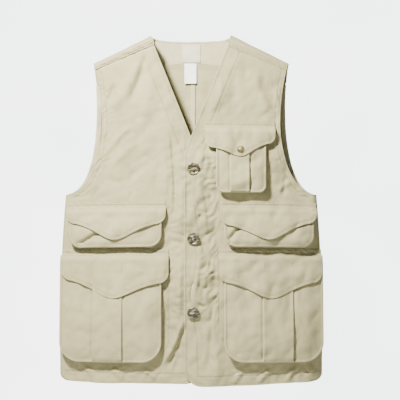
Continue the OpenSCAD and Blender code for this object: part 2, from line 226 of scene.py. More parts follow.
def big_drape(x, z):
    """The wide folds of the fronts, which the pockets hang in as well."""
    d = 2.6 * wave(x, z, 3, 80, 240) + 2.1 * crumple(x, z, 5, 55, 140) + 0.9 * crumple(x, z, 6, 26, 64)
    hem = 3.0 * np.sin(x / 31 + 0.8) + 1.6 * np.sin(x / 17.3)
    d = d + hem * smooth((-600 - z) / 140) * 0.8
    near_top = smooth((shoulder_z(x) - 22 - z) / 50)
    near_side = smooth((side_x(z) - np.abs(x)) / 26)
    return d * near_top * near_side


def ripples(x, z, length, slant, seed):
    """Short uneven puckers that run at a slant to a seam."""
    phase = (z + slant * x) / length + 0.75 * wave(x, z, seed, 24, 80)
    sharp = 1.6 * np.abs(np.sin(math.pi * phase)) - 1.0
    return sharp * (0.6 + 0.5 * wave(x, z, seed + 1, 14, 50))


def between(v, low, high, soft):
    return smooth((v - low) / soft) * smooth((high - v) / soft)


def front_drape(x, z):
    """How far the hanging cloth of the fronts stands out from its plain curve."""
    d = 0.22 * wave(x, z, 7, 12, 30)
    for start, end, high, wide in FRONT_FOLDS:
        d = d + fold(x, z, start, end, 1.35 * high, 0.8 * wide)
    swell = 0.75 + 0.25 * np.sin((z + 287) * math.pi / 73.5)
    d = d + 7.5 * smooth((54 - x) / 42) * smooth((x + 46) / 24) * between(z, -640, -225, 60) * swell
    d = d + 3.4 * ripples(x, z, 27.0, -1.2, 60) * between(x, 12, 60, 8) * between(z, -615, -222, 20)
    d = d + 3.0 * crumple(x, z, 61, 26, 74) * between(x, 8, 62, 10) * between(z, -700, -222, 20)
    d = d + 1.6 * crumple(x, z, 62, 18, 56) * between(x, -60, 8, 12) * between(z, -700, -228, 20)
    d = d + 1.4 * ripples(x, z, 14.0, 0.7, 64) * between(x, -46, -6, 10) * between(z, -640, -240, 20)
    d = d + 1.6 * ripples(x, z, 36.0, -1.3, 68) * between(z, -740, -699, 12) * smooth((np.abs(x) - 26) / 20)
    points = np.stack([np.abs(x).ravel(), z.ravel()], 1)
    from_arm = segments_distance(points, FRONT_ARMHOLE, False).reshape(x.shape)
    d = d + 1.3 * ripples(np.abs(x), z, 19.0, 0.9, 72) * smooth((40 - from_arm) / 26) * smooth(from_arm / 5)
    near_top = smooth((shoulder_z(x) - 26 - z) / 30)
    near_side = smooth((side_x(z) - np.abs(x)) / 20)
    return d * near_top * near_side + big_drape(x, z)


def yoke_seam(x):
    """The height of the seam between the yoke and the back."""
    return YOKE_SEAM_Z - YOKE_SEAM_DROP * (x / (SHOULDER_HALF - 6)) ** 2


def back_drape(x, z):
    """How far the hanging cloth of the back stands out from its plain curve."""
    d = 3.0 * wave(x, z, 11, 90, 300) + 2.4 * crumple(x, z, 13, 70, 170) + 0.9 * crumple(x, z, 12, 28, 70)
    d = d + 2.2 * np.exp(-((np.abs(x) - 120 + 0.05 * z) / 34) ** 2) * smooth((-120 - z) / 120)
    d = d + (2.6 * np.sin(x / 38 + 2.2) + 1.6 * np.sin(x / 21)) * smooth((-560 - z) / 180) * 0.8
    for sign in (-1, 1):
        d = d + fold(x, z, (sign * 190, -130), (sign * 70, -300), 3.4, 15)
        d = d + fold(x, z, (sign * 196, -200), (sign * 110, -360), 2.8, 13)
        d = d + fold(x, z, (sign * 150, -420), (sign * 100, -700), 3.0, 16)
    d = d + 0.5 * ripples(x, z, 15.0, 0.8, 80) * between(np.abs(x), -1, 20, 8) * smooth((-80 - z) / 30)
    d = d + 0.8 * ripples(x, z, 30.0, 1.0, 84) * between(z, -739, -706, 10)
    near_top = smooth((yoke_seam(x) - z) / 60)
    return d * near_top * smooth((side_x(z) - np.abs(x)) / 26)


def shoulder_z(x):
    """The height of the shoulder's ridge, which runs on in a straight line inside the neck."""
    return -(np.abs(x) - NECK_HALF) * SHOULDER_DROP / (SHOULDER_HALF - NECK_HALF)


def side_x(z):
    line = np.vstack([SIDE_LINE, SIDE_CORNER])
    order = np.argsort(line[:, 1])
    return np.interp(z, line[order, 1], line[order, 0])


def seam_y(z):
    """How far back the side seams are."""
    x = side_x(np.clip(z, -690, -342))
    return 0.5 * (front_depth(x, z, -2) + back_depth(x, z, 0)) + 1.0


def round_side(x, z, y):
    """Turns the cloth in to the side seam over the last few millimetres."""
    t = np.clip((side_x(z) - np.abs(x)) / 13.0, 0, 1)
    t = np.where(z > PIT[1] + 4, 1.0, t)
    return seam_y(z) + (y - seam_y(z)) * np.sqrt(np.maximum(1 - (1 - t) ** 2, 0))


def on_front(x, z, out=0.0, base=0.0):
    """Points on the front's cloth, standing out from it by out."""
    y = round_side(x, z, front_depth(x, z, base + out + front_drape(x, z)))
    return np.stack([x, y, z], -1)


def on_back(x, z, out=0.0):
    y = round_side(x, z, back_depth(x, z, out + back_drape(x, z)))
    return np.stack([x, y, z], -1)


def arch(x):
    """The middle, half depth and quarter length of the shoulder's arch over the hanger."""
    z = shoulder_z(x) - ARCH_H
    f, b = front_depth(x, z, 0), back_depth(x, z, 0)
    half = (b - f) / 2
    return (f + b) / 2, half, math.pi / 2 * np.sqrt((ARCH_H ** 2 + half ** 2) / 2)


def on_yoke(x, s, out=0.0):
    """Points on the yoke. s is the distance back over the shoulder from its ridge."""
    middle, half, quarter = arch(x)
    a = np.clip(s / quarter, -1, 1) * math.pi / 2
    past = np.maximum(np.abs(s) - quarter, 0)
    z = shoulder_z(x) - (ARCH_H + out) * (1 - np.cos(a)) - past + out * np.cos(a)
    y = middle + (half + out) * np.sin(a)
    flat_y = np.where(s > 0, back_depth(x, z, out), front_depth(x, z, out))
    y = np.where(past > 0, flat_y, y)
    return np.stack([x, y, z], -1)


def yoke_s(x, z, behind=True):
    """The distance over the shoulder at which the yoke passes a height."""
    quarter = arch(x)[2]
    drop = shoulder_z(x) - z
    a = np.arccos(np.clip(1 - drop / ARCH_H, -1, 1))
    s = np.where(drop > ARCH_H, quarter + drop - ARCH_H, a / (math.pi / 2) * quarter)
    return s if behind else -s


# ---------------------------------------------------------------- meshes

def segments_distance(points, line, closed=True):
    """The distance of each point from the line."""
    a, b = (line, np.roll(line, -1, 0)) if closed else (line[:-1], line[1:])
    ab = b - a
    best = np.full(len(points), np.inf)
    for i in range(0, len(points), 2000):
        p = points[i:i + 2000, None]
        t = np.clip(((p - a) * ab).sum(2) / np.maximum((ab * ab).sum(1), 1e-12), 0, 1)
        d = np.linalg.norm(p - a - t[..., None] * ab, axis=2)
        best[i:i + 2000] = d.min(1)
    return best


def is_inside(points, line):
    inside = np.zeros(len(points), bool)
    for a, b in zip(line, np.roll(line, -1, 0)):
        crosses = (a[1] > points[:, 1]) != (b[1] > points[:, 1])
        with np.errstate(divide="ignore", invalid="ignore"):
            x = a[0] + (points[:, 1] - a[1]) * (b[0] - a[0]) / (b[1] - a[1])
        inside ^= crosses & (points[:, 0] < x)
    return inside


# The rows of points along an edge, a stitched crease and a pleat's step: how far they are from it.
EDGE_ROWS = (1.1, 2.4, 4.0, 5.6, 7.6)
CREASE_ROWS = (-2.8, -1.3, 0, 1.3, 2.8)
STEP_ROWS = (-3.2, -2.0, -1.1, -0.4, 0.3, 1.1, 2.4)


def filled(outline, cell, holes=(), creases=(), steps=()):
    """A net of triangles inside an outline, fine along its edge.

    Returns its points, its triangles and the points' distances from the edge."""
    outline = np.asarray(outline, float)
    turn = outline[:, 0] @ np.roll(outline[:, 1], -1) - outline[:, 1] @ np.roll(outline[:, 0], -1)
    outline = outline if turn > 0 else outline[::-1]
    line = resampled(outline, min(cell, 3.2))
    points = [line]
    u = np.roll(line, -1, 0) - np.roll(line, 1, 0)
    normal = np.stack([-u[:, 1], u[:, 0]], 1) / (np.linalg.norm(u, axis=1)[:, None] + 1e-9)
    for row in EDGE_ROWS:
        ring = line + normal * row
        keep = is_inside(ring, line) & (segments_distance(ring, line) > row - 0.12)
        points.append(ring[keep])
    low, high = line.min(0), line.max(0)
    gx, gz = np.meshgrid(np.arange(low[0], high[0], cell), np.arange(low[1], high[1], cell * 0.866))
    gx = gx + (np.arange(gx.shape[0]) % 2)[:, None] * cell / 2
    grid = np.stack([gx.ravel(), gz.ravel()], 1)
    grid = grid + np.random.default_rng(1).normal(0, cell * 0.04, grid.shape)
    grid = grid[is_inside(grid, line)]
    last = EDGE_ROWS[-1]
    grid = grid[segments_distance(grid, line) > last + cell * 0.55]
    for seams, offsets, inset, clear in ((creases, CREASE_ROWS, last + 0.8, 2.8),
                                         (steps, STEP_ROWS, 0.8, 3.4)):
        for seam in seams:
            for offset in offsets:
                row = sideways(evened(seam, 3.4), offset)
                row = row[is_inside(row, line)]
                points.append(row[segments_distance(row, line) > inset])
            grid = grid[segments_distance(grid, seam, False) > clear + cell * 0.4]
    points.append(grid)
    edges = [(i, (i + 1) % len(line)) for i in range(len(line))]
    for hole in holes:
        start = sum(len(p) for p in points)
        points.append(hole)
        edges += [(start + i, start + (i + 1) % len(hole)) for i in range(len(hole))]
    points = np.concatenate(points)
    got, _, tris, *_ = delaunay_2d_cdt([Vector(p) for p in points], edges, [], 1, 1e-4)
    got = np.array([tuple(p) for p in got])
    tris = np.array([t for t in tris if len(t) == 3], int)
    for hole in holes:
        tris = tris[~is_inside(got[tris].mean(1), hole)]
    return got, tris, segments_distance(got, line)


def normals_of(points, tris):
    n = np.zeros_like(points)
    a, b, c = (points[tris[:, i]] for i in range(3))
    face = np.cross(b - a, c - a)
    for i in range(3):
        np.add.at(n, tris[:, i], face)
    return n / (np.linalg.norm(n, axis=1)[:, None] + 1e-12)


def facing(points, tris, towards):
    """Turns the triangles so that they face towards a direction on the whole."""
    n = normals_of(points, tris)
    return tris if (n @ np.array(towards, float)).sum() > 0 else tris[:, ::-1]


def thickened(points, tris, thick):
    """A closed sheet: the points, and the same points moved in by the thickness."""
    n = normals_of(points, tris)
    count = len(points)
    both = np.concatenate([points, points - n * np.reshape(thick, (-1, 1))])
    half_edges = np.concatenate([tris[:, [0, 1]], tris[:, [1, 2]], tris[:, [2, 0]]])
    key = np.sort(half_edges, axis=1)
    _, index, uses = np.unique(key, axis=0, return_index=True, return_counts=True)
    rim = half_edges[index[uses == 1]]
    faces = [tuple(t) for t in tris] + [tuple(t[::-1] + count) for t in tris]
    faces += [(b, a, a + count, b + count) for a, b in rim]
    return both, faces


SOLIDS = {}


def make(name, points, faces, material, slot=None):
    """An object of one material. Its slot argument is not used."""
    mesh = bpy.data.meshes.new(name)
    mesh.from_pydata((np.asarray(points) * MM).tolist(), [], [tuple(map(int, f)) for f in faces])
    mesh.validate()
    mesh.shade_smooth()
    obj = bpy.data.objects.new(name, mesh)
    bpy.context.scene.collection.objects.link(obj)
    mesh.materials.append(MATERIALS[material])
    SOLIDS[name] = (np.asarray(points), faces)
    return obj


def edge_roll(d, high=0.55, groove=6.0):
    """The raised turning along an edge, and the groove that its stitches pull in."""
    pulled = (0.2 + 0.3 * high) * np.exp(-((d - groove) / 1.0) ** 2)
    return high * smooth(d / 1.3) * smooth((groove - d) / 1.4) - pulled


def cloth_piece(name, node, outline, surface, towards, material="twill_khaki", cell=4.5, thick=CLOTH,
                roll=0.0, groove=6.0, holes=(), creases=(), steps=()):
    """A sheet of cloth: an outline laid on a surface, with the thickness of its turnings."""
    p, tris, d = filled(outline, cell, holes=holes, creases=creases, steps=steps)
    out = edge_roll(d, roll, groove) if roll else np.zeros(len(p))
    # Painted shade: a mask that darkens the cloth along the stitch groove near the edge and along each
    # stitched crease.
    sewn = np.exp(-((d - groove) / 1.2) ** 2) if roll else np.zeros(len(p))
    for crease in creases:
        away = segments_distance(p, crease, False)
        sewn = np.maximum(sewn, np.exp(-(away / 1.3) ** 2))
        out = out - 0.65 * np.exp(-(away / 1.1) ** 2) + 0.25 * np.exp(-((away - 2.8) / 1.2) ** 2)
        out = out + 0.35 * np.exp(-(away / 5) ** 2) * np.sin(p.sum(1) / 2.3 + 2 * np.sin(p[:, 0] / 9))
    points = surface(p[:, 0], p[:, 1], out)
    tris = facing(points, tris, towards)
    solid, faces = thickened(points, tris, thick)
    obj = make(name, solid, faces, material)
    for key, values in (("wear", np.exp(-d / 1.6)), ("sewn", sewn)):
        layer = obj.data.attributes.new(key, "FLOAT", "POINT")
        layer.data.foreach_set("value", np.tile(values, 2).astype(np.float32))
    triangle_area(points, tris)
    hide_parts(node)
    return obj


def triangle_area(points, tris):
    a, b, c = (points[tris[:, i]] for i in range(3))
    return float(np.linalg.norm(np.cross(b - a, c - a), axis=1).sum() / 2)


def grid_faces(rows, columns):
    i, j = np.meshgrid(np.arange(rows - 1), np.arange(columns - 1), indexing="ij")
    a = (i * columns + j).ravel()
    b, c, d = a + 1, a + columns + 1, a + columns
    return np.concatenate([np.stack([a, b, c], 1), np.stack([a, c, d], 1)])


def ribbon(name, node, rows, towards, material="twill_inside", thick=1.1):
    """A closed strip of cloth through rows of points, each row running across it."""
    rows = np.asarray(rows, float)
    count, across = rows.shape[:2]
    points = rows.reshape(-1, 3)
    tris = facing(points, grid_faces(count, across), towards)
    solid, faces = thickened(points, tris, thick)
    obj = make(name, solid, faces, material)
    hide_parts(node)
    return obj


def strip_on(line, width, surface, n=5):
    """Rows of points for a ribbon as wide as width, on the right of a line."""
    line = evened(line, 4.0)
    offsets = np.linspace(0.4, width, n)
    flat = np.stack([sideways(line, d) for d in offsets], 1)
    return surface(flat[..., 0], flat[..., 1], 0.0)


# ---------------------------------------------------------------- materials

class Nodes:
    """A short way to write a material's nodes."""

    def __init__(self, name):
        self.material = bpy.data.materials.new(name)
        self.material.use_nodes = True
        self.tree = self.material.node_tree
        self.shader = self.tree.nodes["Principled BSDF"]
        self.place = self.add("TexCoord").outputs["Object"]

    def add(self, kind, **values):
        node = self.tree.nodes.new("ShaderNode" + kind)
        for key, value in values.items():
            if hasattr(node, key):
                setattr(node, key, value)
            else:
                self.set(node.inputs[key.replace("_", " ")], value)
        return node

    def set(self, socket, value):
        if isinstance(value, bpy.types.NodeSocket):
            self.tree.links.new(value, socket)
        else:
            socket.default_value = value

    def noise(self, scale, detail=3.0, roughness=0.55, place=None):
        return self.add("TexNoise", Vector=place or self.place, Scale=scale, Detail=detail,
                        Roughness=roughness).outputs["Fac"]

    def bands(self, scale, turn, distortion=0.0):
        """Stripes with their own direction, as turned in the XZ plane."""
        mapping = self.add("Mapping", Vector=self.place, Rotation=(0, turn, 0))
        return self.add("TexWave", wave_type="BANDS", bands_direction="X", wave_profile="SIN",
                        Vector=mapping.outputs[0], Scale=scale, Distortion=distortion, Detail=1.0,
                        Detail_Scale=1.5).outputs["Fac"]

    def math(self, operation, a, b=0.0):
        node = self.add("Math", operation=operation)
        self.set(node.inputs[0], a)
        self.set(node.inputs[1], b)
        return node.outputs[0]

    def ramp(self, factor, *stops):
        node = self.add("ValToRGB")
        self.set(node.inputs[0], factor)
        while len(node.color_ramp.elements) < len(stops):
            node.color_ramp.elements.new(0.5)
        for element, (at, colour) in zip(node.color_ramp.elements, stops):
            element.position = at
            element.color = (*colour, 1) if len(colour) == 3 else colour
        return node.outputs[0]

    def mix(self, factor, a, b, blend="MIX"):
        node = self.add("Mix", data_type="RGBA", blend_type=blend)
        self.set(node.inputs[0], factor)
        for socket, value in ((node.inputs[6], a), (node.inputs[7], b)):
            self.set(socket, (*value, 1) if isinstance(value, tuple) and len(value) == 3 else value)
        return node.outputs[2]

    def bump(self, height, strength, distance, normal=None):
        node = self.add("Bump", Strength=strength, Distance=distance, Height=height)
        if normal is not None:
            self.set(node.inputs["Normal"], normal)
        return node.outputs[0]

    def finish(self, colour, roughness, normal=None, **plain):
        self.set(self.shader.inputs["Base Color"], colour)
        self.set(self.shader.inputs["Roughness"], roughness)
        if normal is not None:
            self.set(self.shader.inputs["Normal"], normal)
        for key, value in plain.items():
            self.shader.inputs[key.replace("_", " ")].default_value = value
        return self.material


def linear(r, g, b):
    return tuple(((c / 255 + 0.055) / 1.055) ** 2.4 for c in (r, g, b))


def twill(name, light, dark, edge):
    """Cotton twill: fine diagonal ribs of yarn, washed unevenly and rubbed pale along its edges, with painted
    shade along its stitched grooves.
    """
    n = Nodes(name)
    ribs = n.bands(392.0, math.radians(-52), 0.5)
    yarns = n.bands(620.0, math.radians(38), 0.8)
    slub = n.noise(900.0, 2.0)
    weave = n.math("ADD", n.math("MULTIPLY", ribs, 0.7), n.math("MULTIPLY", yarns, 0.3))
    weave = n.math("ADD", weave, n.math("MULTIPLY", slub, 0.35))
    wash = n.noise(9.0, 4.0, 0.6)
    cloud = n.noise(60.0, 3.0, 0.6)
    tone = n.math("ADD", n.math("MULTIPLY", wash, 0.55), n.math("MULTIPLY", cloud, 0.45))
    colour = n.mix(n.ramp(tone, (0.36, (0, 0, 0)), (0.64, (1, 1, 1))), dark, light)
    shade = n.ramp(weave, (0.3, (0.86, 0.855, 0.84)), (0.8, (1.0, 1.0, 1.0)))
    colour = n.mix(0.75, colour, shade, "MULTIPLY")
    wear = n.add("Attribute", attribute_name="wear").outputs["Fac"]
    rubbed = n.math("MULTIPLY", wear, n.noise(240.0, 3.0, 0.7))
    colour = n.mix(rubbed, colour, edge)
    # Painted shade: the cloth is darkened towards a deep brown along the stitched grooves and creases.
    sewn = n.math("MULTIPLY", n.add("Attribute", attribute_name="sewn").outputs["Fac"], 0.34)
    colour = n.mix(sewn, colour, tuple(0.45 * c for c in dark))
    soft = n.bump(n.noise(110.0, 5.0, 0.62), 0.30, 0.0020)
    normal = n.bump(weave, 0.40, 0.00035, soft)
    rough = n.ramp(weave, (0.2, (0.92, 0.92, 0.92)), (0.9, (0.78, 0.78, 0.78)))
    return n.finish(colour, rough, normal, Sheen_Weight=0.06, Sheen_Roughness=0.5, Specular_IOR_Level=0.14)


def satin(name, colour):
    """A smooth label tape with fine crosswise threads and a faint sheen."""
    n = Nodes(name)
    threads = n.bands(900.0, math.radians(90), 0.3)
    along = n.bands(560.0, 0.0, 0.3)
    cloud = n.noise(120.0, 3.0)
    weave = n.math("ADD", n.math("MULTIPLY", threads, 0.6), n.math("MULTIPLY", along, 0.4))
    tone = n.mix(n.ramp(cloud, (0.35, (0, 0, 0)), (0.7, (1, 1, 1))), tuple(c * 0.9 for c in colour), colour)
    tone = n.mix(0.6, tone, n.ramp(weave, (0.2, (0.9, 0.9, 0.89)), (0.8, (1, 1, 1))), "MULTIPLY")
    normal = n.bump(weave, 0.3, 0.0002, n.bump(n.noise(160.0, 2.0), 0.25, 0.001))
    return n.finish(tone, 0.5, normal, Sheen_Weight=0.3, Specular_IOR_Level=0.4)


def horn_like(name):
    """Polished resin in the look of dark horn, with pale streaks and clouds."""
    n = Nodes(name)
    mapping = n.add("Mapping", Vector=n.place, Scale=(1.0, 1.0, 2.6))
    streaks = n.noise(75.0, 4.0, 0.6, mapping.outputs[0])
    specks = n.noise(900.0, 2.0, 0.5)
    colour = n.ramp(streaks, (0.40, linear(30, 27, 17)), (0.50, linear(62, 56, 38)),
                    (0.57, linear(118, 109, 80)), (0.68, linear(208, 201, 174)))
    colour = n.mix(0.35, colour, n.ramp(specks, (0.4, (0.55, 0.5, 0.46)), (0.6, (1, 1, 1))), "MULTIPLY")
    rough = n.ramp(n.noise(400.0, 3.0), (0.3, (0.18, 0.18, 0.18)), (0.8, (0.36, 0.36, 0.36)))
    normal = n.bump(specks, 0.12, 0.0003)
    return n.finish(colour, rough, normal, Coat_Weight=0.2, Coat_Roughness=0.2, Specular_IOR_Level=0.5)


def old_brass(name):
    """Brass with a brown patina that is rubbed bright on its high places."""
    n = Nodes(name)
    patches = n.noise(420.0, 4.0, 0.65)
    fine = n.noise(2600.0, 2.0)
    colour = n.ramp(patches, (0.34, linear(48, 43, 27)), (0.5, linear(84, 77, 50)),
                    (0.68, linear(128, 119, 82)))
    rough = n.ramp(patches, (0.3, (0.6, 0.6, 0.6)), (0.7, (0.42, 0.42, 0.42)))
    normal = n.bump(fine, 0.2, 0.0002, n.bump(patches, 0.25, 0.0004))
    return n.finish(colour, rough, normal, Metallic=1.0)


def spun(name, colour):
    """Sewing thread with its ply showing as a fine twist."""
    n = Nodes(name)
    ply = n.bands(1500.0, math.radians(30), 0.5)
    fuzz = n.noise(1500.0, 2.0)
    tone = n.mix(0.8, colour, n.ramp(ply, (0.2, (0.7, 0.69, 0.66)), (0.8, (1.0, 1.0, 1.0))), "MULTIPLY")
    tone = n.mix(0.4, tone, n.ramp(fuzz, (0.35, (0.8, 0.79, 0.76)), (0.65, (1, 1, 1))), "MULTIPLY")
    return n.finish(tone, 0.75, n.bump(ply, 0.4, 0.0002), Sheen_Weight=0.2)


MATERIALS = {
    "twill_khaki": twill("twill_khaki", linear(161, 153, 115), linear(149, 142, 106), linear(182, 174, 137)),
    "twill_inside": twill("twill_inside", linear(178, 171, 134), linear(167, 160, 125),
                          linear(190, 183, 147)),
    "label_woven": satin("label_woven", linear(190, 182, 158)),
    "label_satin": satin("label_satin", linear(228, 228, 222)),
    "horn": horn_like("horn"),
    "antique_brass": old_brass("antique_brass"),
    "seam_thread": spun("seam_thread", linear(166, 158, 118)),
    "button_thread": spun("button_thread", linear(164, 156, 128)),
}


# ---------------------------------------------------------------- stitches

def hits(points, names, towards, start):
    """Where rays along Y from y = start meet the named pieces, from (x, z) points."""
    trees = [BVHTree.FromPolygons(solid.tolist(), [tuple(map(int, f)) for f in faces])
             for solid, faces in (SOLIDS[name] for name in names)]
    found = []
    for x, z in points:
        best = None
        for tree in trees:
            place, normal, _, far = tree.ray_cast(Vector((x, start, z)), Vector((0, towards, 0)), 400)
            if place is not None and (best is None or far < best[1]):
                best = (place, far)
        found.append(best[0][:] if best else (np.nan,) * 3)
    return np.array(found)


THREAD_R = 0.3


def stitches(name, lines, on, towards=1, start=-250.0, pitch=3.0, lift=0.05, radius=THREAD_R):
    """Rows of single stitches along lines drawn as seen from the front, laid on the pieces' surface."""
    bodies, faces, ends = [], [], []
    for line in lines:
        line = evened(line, pitch / 2)
        place = hits(line, on, towards, start)
        for k in range(0, len(place) - 1, 2):
            ends.append((place[k], place[k + 1]))
    angles = np.arange(5) * 2 * math.pi / 5
    for a, b in ends:
        if np.isnan(a).any() or np.isnan(b).any() or np.linalg.norm(b - a) > 2.2 * pitch:
            continue
        u = (b - a) / (np.linalg.norm(b - a) + 1e-9)
        a, b = a - u * 0.45, b + u * 0.45
        side = np.cross(u, [0, 1, 0])
        side /= np.linalg.norm(side) + 1e-9
        up = np.cross(u, side)
        ring = radius * (np.cos(angles)[:, None] * side + np.sin(angles)[:, None] * up)
        out = np.array([0, -towards * lift, 0.0])
        base = 12 * len(bodies)
        bodies.append(np.concatenate([[a - out * 6], a + (b - a) * 0.14 + ring + out,
                                      a + (b - a) * 0.86 + ring + out, [b - out * 6]]))
        for i in range(5):
            j = (i + 1) % 5
            faces += [(base, base + 1 + j, base + 1 + i), (base + 11, base + 6 + i, base + 6 + j),
                      (base + 1 + i, base + 1 + j, base + 6 + j, base + 6 + i)]
    return make(name, np.concatenate(bodies), faces, "seam_thread", "twill_khaki")


# ---------------------------------------------------------------- back and yoke

def cut(line, low=-2000, high=2000):
    """The part of a line between two heights."""
    return line[(line[:, 1] > low) & (line[:, 1] < high)]


def mirrored(half):
    """A whole outline from its left half."""
    return np.concatenate([half, (half * [-1, 1])[::-1]])


def level(left, right, z):
    """A level line of two points."""
    return np.array([[left, z], [right, z]])


SIDES = ((1, "left"), (-1, "right"))
HEM_STITCH = HEM_Z + 21
MIDDLE_ROWS = (1.6, 7.4)
BACK_EDGE = cut(BACK_ARMHOLE, high=-104)
yoke_x = np.linspace(0, SHOULDER_HALF - 8, 40)
YOKE_LINE = np.stack([yoke_x, yoke_seam(yoke_x)], 1)


def back_surface(side):
    """One half of the back, tucked in under the yoke, with the right half's edge under the left's."""
    def surface(x, z, out):
        tuck = 1.5 * smooth((z - yoke_seam(x) + 3) / 5)
        lap = 0.9 * smooth((4 - x * side) / 3) if side < 0 else 0
        return on_back(x, z, out - tuck - lap)
    return surface


def inside_back(x, z, out):
    return on_back(x, z, LINING_OUT - out)


def back_lines(side):
    """The stitched lines of half the back: its hem, its armhole and the rows beside the middle seam."""
    hem = np.array([[4.0, HEM_STITCH], [250.0, HEM_STITCH], [278.0, HEM_STITCH + 2]])
    middle = [np.array([[x, YOKE_SEAM_Z - 4], [x, HEM_Z + 4]]) for x in (MIDDLE_ROWS if side > 0 else ())]
    return [line * [side, 1] for line in (hem, sideways(BACK_EDGE, 10.5)[2:-1], *middle)]


for side, word in SIDES:
    middle = 0.0 if side > 0 else -5.0
    outline = np.concatenate([[[middle, YOKE_SEAM_Z + 8]], YOKE_LINE[2:] + [0, 8], BACK_EDGE, SIDE_LINE,
                              SIDE_CORNER, [[middle, HEM_Z]]])
    back = cloth_piece(f"back_cloth_{word}", f"back_panel_{word}", outline * [side, 1], back_surface(side),
                       (0, 1, 0), cell=5.5, roll=0.5, groove=2.0, creases=back_lines(side))
    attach(back, "back")
    arm_turning = ribbon(f"back_armhole_turning_{word}", f"back_armhole_facing_{word}",
                         strip_on(BACK_EDGE * [side, 1], ARM_FACING_W * side, inside_back), (0, -1, 0))
    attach(arm_turning, "back")

across, up = np.meshgrid(np.linspace(-1.0, 9.5, 8), np.arange(YOKE_SEAM_Z - 8, HEM_Z + 12, -5.0))
rise = 1.3 * smooth((across + 1) / 1.5) * smooth((9.5 - across) / 1.5)
middle_seam = ribbon("back_middle_seam", "back_panel_right", on_back(across, up, -1.7 - rise), (0, -1, 0),
                     thick=1.0)
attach(middle_seam, "back")
hem_turning = ribbon("back_hem_turning", "back_hem",
                     strip_on([[-258, HEM_Z + 0.4], [258, HEM_Z + 0.4]], -HEM_TURN, inside_back), (0, -1, 0))
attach(hem_turning, "back")


def yoke_chart(points, behind):
    """Points seen from the front or the back, as places on the yoke laid flat."""
    points = np.asarray(points, float)
    return np.stack([points[:, 0], yoke_s(points[:, 0], points[:, 1], behind)], 1)


def yoke_half():
    """Half of the yoke laid flat: across, and over the shoulder from front to back."""
    arm_back = cut(BACK_ARMHOLE, low=YOKE_SEAM_Z - YOKE_SEAM_DROP - 0.5)
    neck_back = bezier([[0, -6.5], [34, -6.5], [62, -5.6], [84, -1.4]], 14)
    front_seam = evened([SEAM_OUT, [v_x(SEAM_IN_Z), SEAM_IN_Z]], 6)
    return np.concatenate([
        yoke_chart(evened(YOKE_LINE, 6), True), yoke_chart(arm_back[::-1], True)[:-1], [[SHOULDER_HALF, 0.0]],
        yoke_chart(front_seam, False), [[NECK_HALF, 0.0]],
        yoke_chart([[86, -0.8]], True), yoke_chart(neck_back[::-1], True)])


def yoke_cloth(x, s, out):
    """The yoke's surface, lower on the right shoulder, where its front end lies on the right front."""
    under = np.where(x < 0, -UNDER * smooth((8 - s) / 30), 0.0)
    gather = 0.5 * wave(x, s, 31, 40, 160) + 0.25 * wave(x, s, 32, 14, 40)
    return on_yoke(x, s, out + under + gather + 0.3)


YOKE_FRONT_LINE = np.array([[v_x(SEAM_IN_Z) + 1, SEAM_IN_Z], SEAM_OUT - [1, 0]])
# The yoke's rows of stitches: the seam that they follow, their height above it, and whether they are behind.
YOKE_ROWS = ((YOKE_LINE, 2.0, True), (YOKE_LINE, 8.0, True),
             (YOKE_FRONT_LINE, 2.0, False), (YOKE_FRONT_LINE, 8.2, False))
yoke_creases = [yoke_chart(evened(line + [0, up], 6), behind) * [side, 1]
                for line, up, behind in YOKE_ROWS for side in (1, -1)]
yoke = cloth_piece("yoke_cloth", "back_yoke", mirrored(yoke_half()), yoke_cloth, (0, 0, 1), cell=5.0,
                   roll=0.55, groove=2.2, creases=yoke_creases)
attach(yoke, "back")

lining_half = np.concatenate([
    yoke_chart(evened(YOKE_LINE + [0, 4], 6), True),
    yoke_chart(cut(BACK_ARMHOLE, low=YOKE_SEAM_Z - YOKE_SEAM_DROP + 6)[::-1] - [7, 0], True)[:-3],
    [[NECK_HALF + 22, 21.0], [NECK_HALF - 2, 16.0]],
    yoke_chart(bezier([[0, -10.6], [34, -10.6], [60, -9.6], [76, -6.4]], 14)[::-1], True)])
lining = cloth_piece("yoke_inside_cloth", "yoke_lining", mirrored(lining_half),
                     lambda x, s, out: yoke_cloth(x, s, LINING_OUT - out), (0, -1, 0), "twill_inside",
                     cell=6.0, roll=0.3, groove=2.2, thick=FACING_THICK)
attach(lining, "back")

# ---------------------------------------------------------------- fronts

# The stitched edge of each front's facing, as (height, distance across) places.
FACING_LINE = {
    1: [(-221, 29), (-250, 22), (-287, 14), (-344, 6), (-400, 13), (-440, 20), (-475, 19), (-504, 14),
        (-551, -2), (-590, 4), (-640, 13), (-700, 15), (-716, 15)],
    -1: [(-221, 12), (-300, 8), (-716, 8)],
}
BUTTON_X = 5.0
BUTTON_ZS = (-287.0, -434.0, -590.0)
SLIT_X = 10.5
SLIT_LENGTH = 27


def smooth_line(places):
    """A curve through (z, x) places."""
    z, x = np.array(places, float).T
    at = np.linspace(z[0], z[-1], 160)
    line = np.interp(at, z[::-1], x[::-1])
    kernel = np.hanning(15) / np.hanning(15).sum()
    return np.stack([np.convolve(np.pad(line, 7, "edge"), kernel, "valid"), at], 1)


def front_base(side):
    """The right front hangs under the left one."""
    return 0.0 if side > 0 else -UNDER


def front_surface(side):
    """The surface of one front: its cloth, tucked in under the yoke along the shoulder seam."""
    def surface(x, z, out):
        along = (np.abs(x) - v_x(SEAM_IN_Z)) / (SEAM_OUT[0] - v_x(SEAM_IN_Z))
        seam_z = SEAM_IN_Z + along * (SEAM_OUT[1] - SEAM_IN_Z)
        out = out - 1.6 * smooth((z - seam_z + 3) / 5)
        if side < 0:
            return on_front(x, z, out, -UNDER)
        # The left front's lower corner swings out and hangs a little lower.
        low = smooth((-610 - z) / 100)
        points = on_front(x, z, out + 4.5 * low * np.exp(-((x + LEFT_LAP) / 24) ** 2), 0.0)
        points[..., 2] -= 4.5 * low * smooth((240 - x) / 120)
        return points
    return surface


def inside_front(side):
    """The surface that one front's facings lie on."""
    return lambda x, z, out: on_front(x, z, LINING_OUT - out, front_base(side))


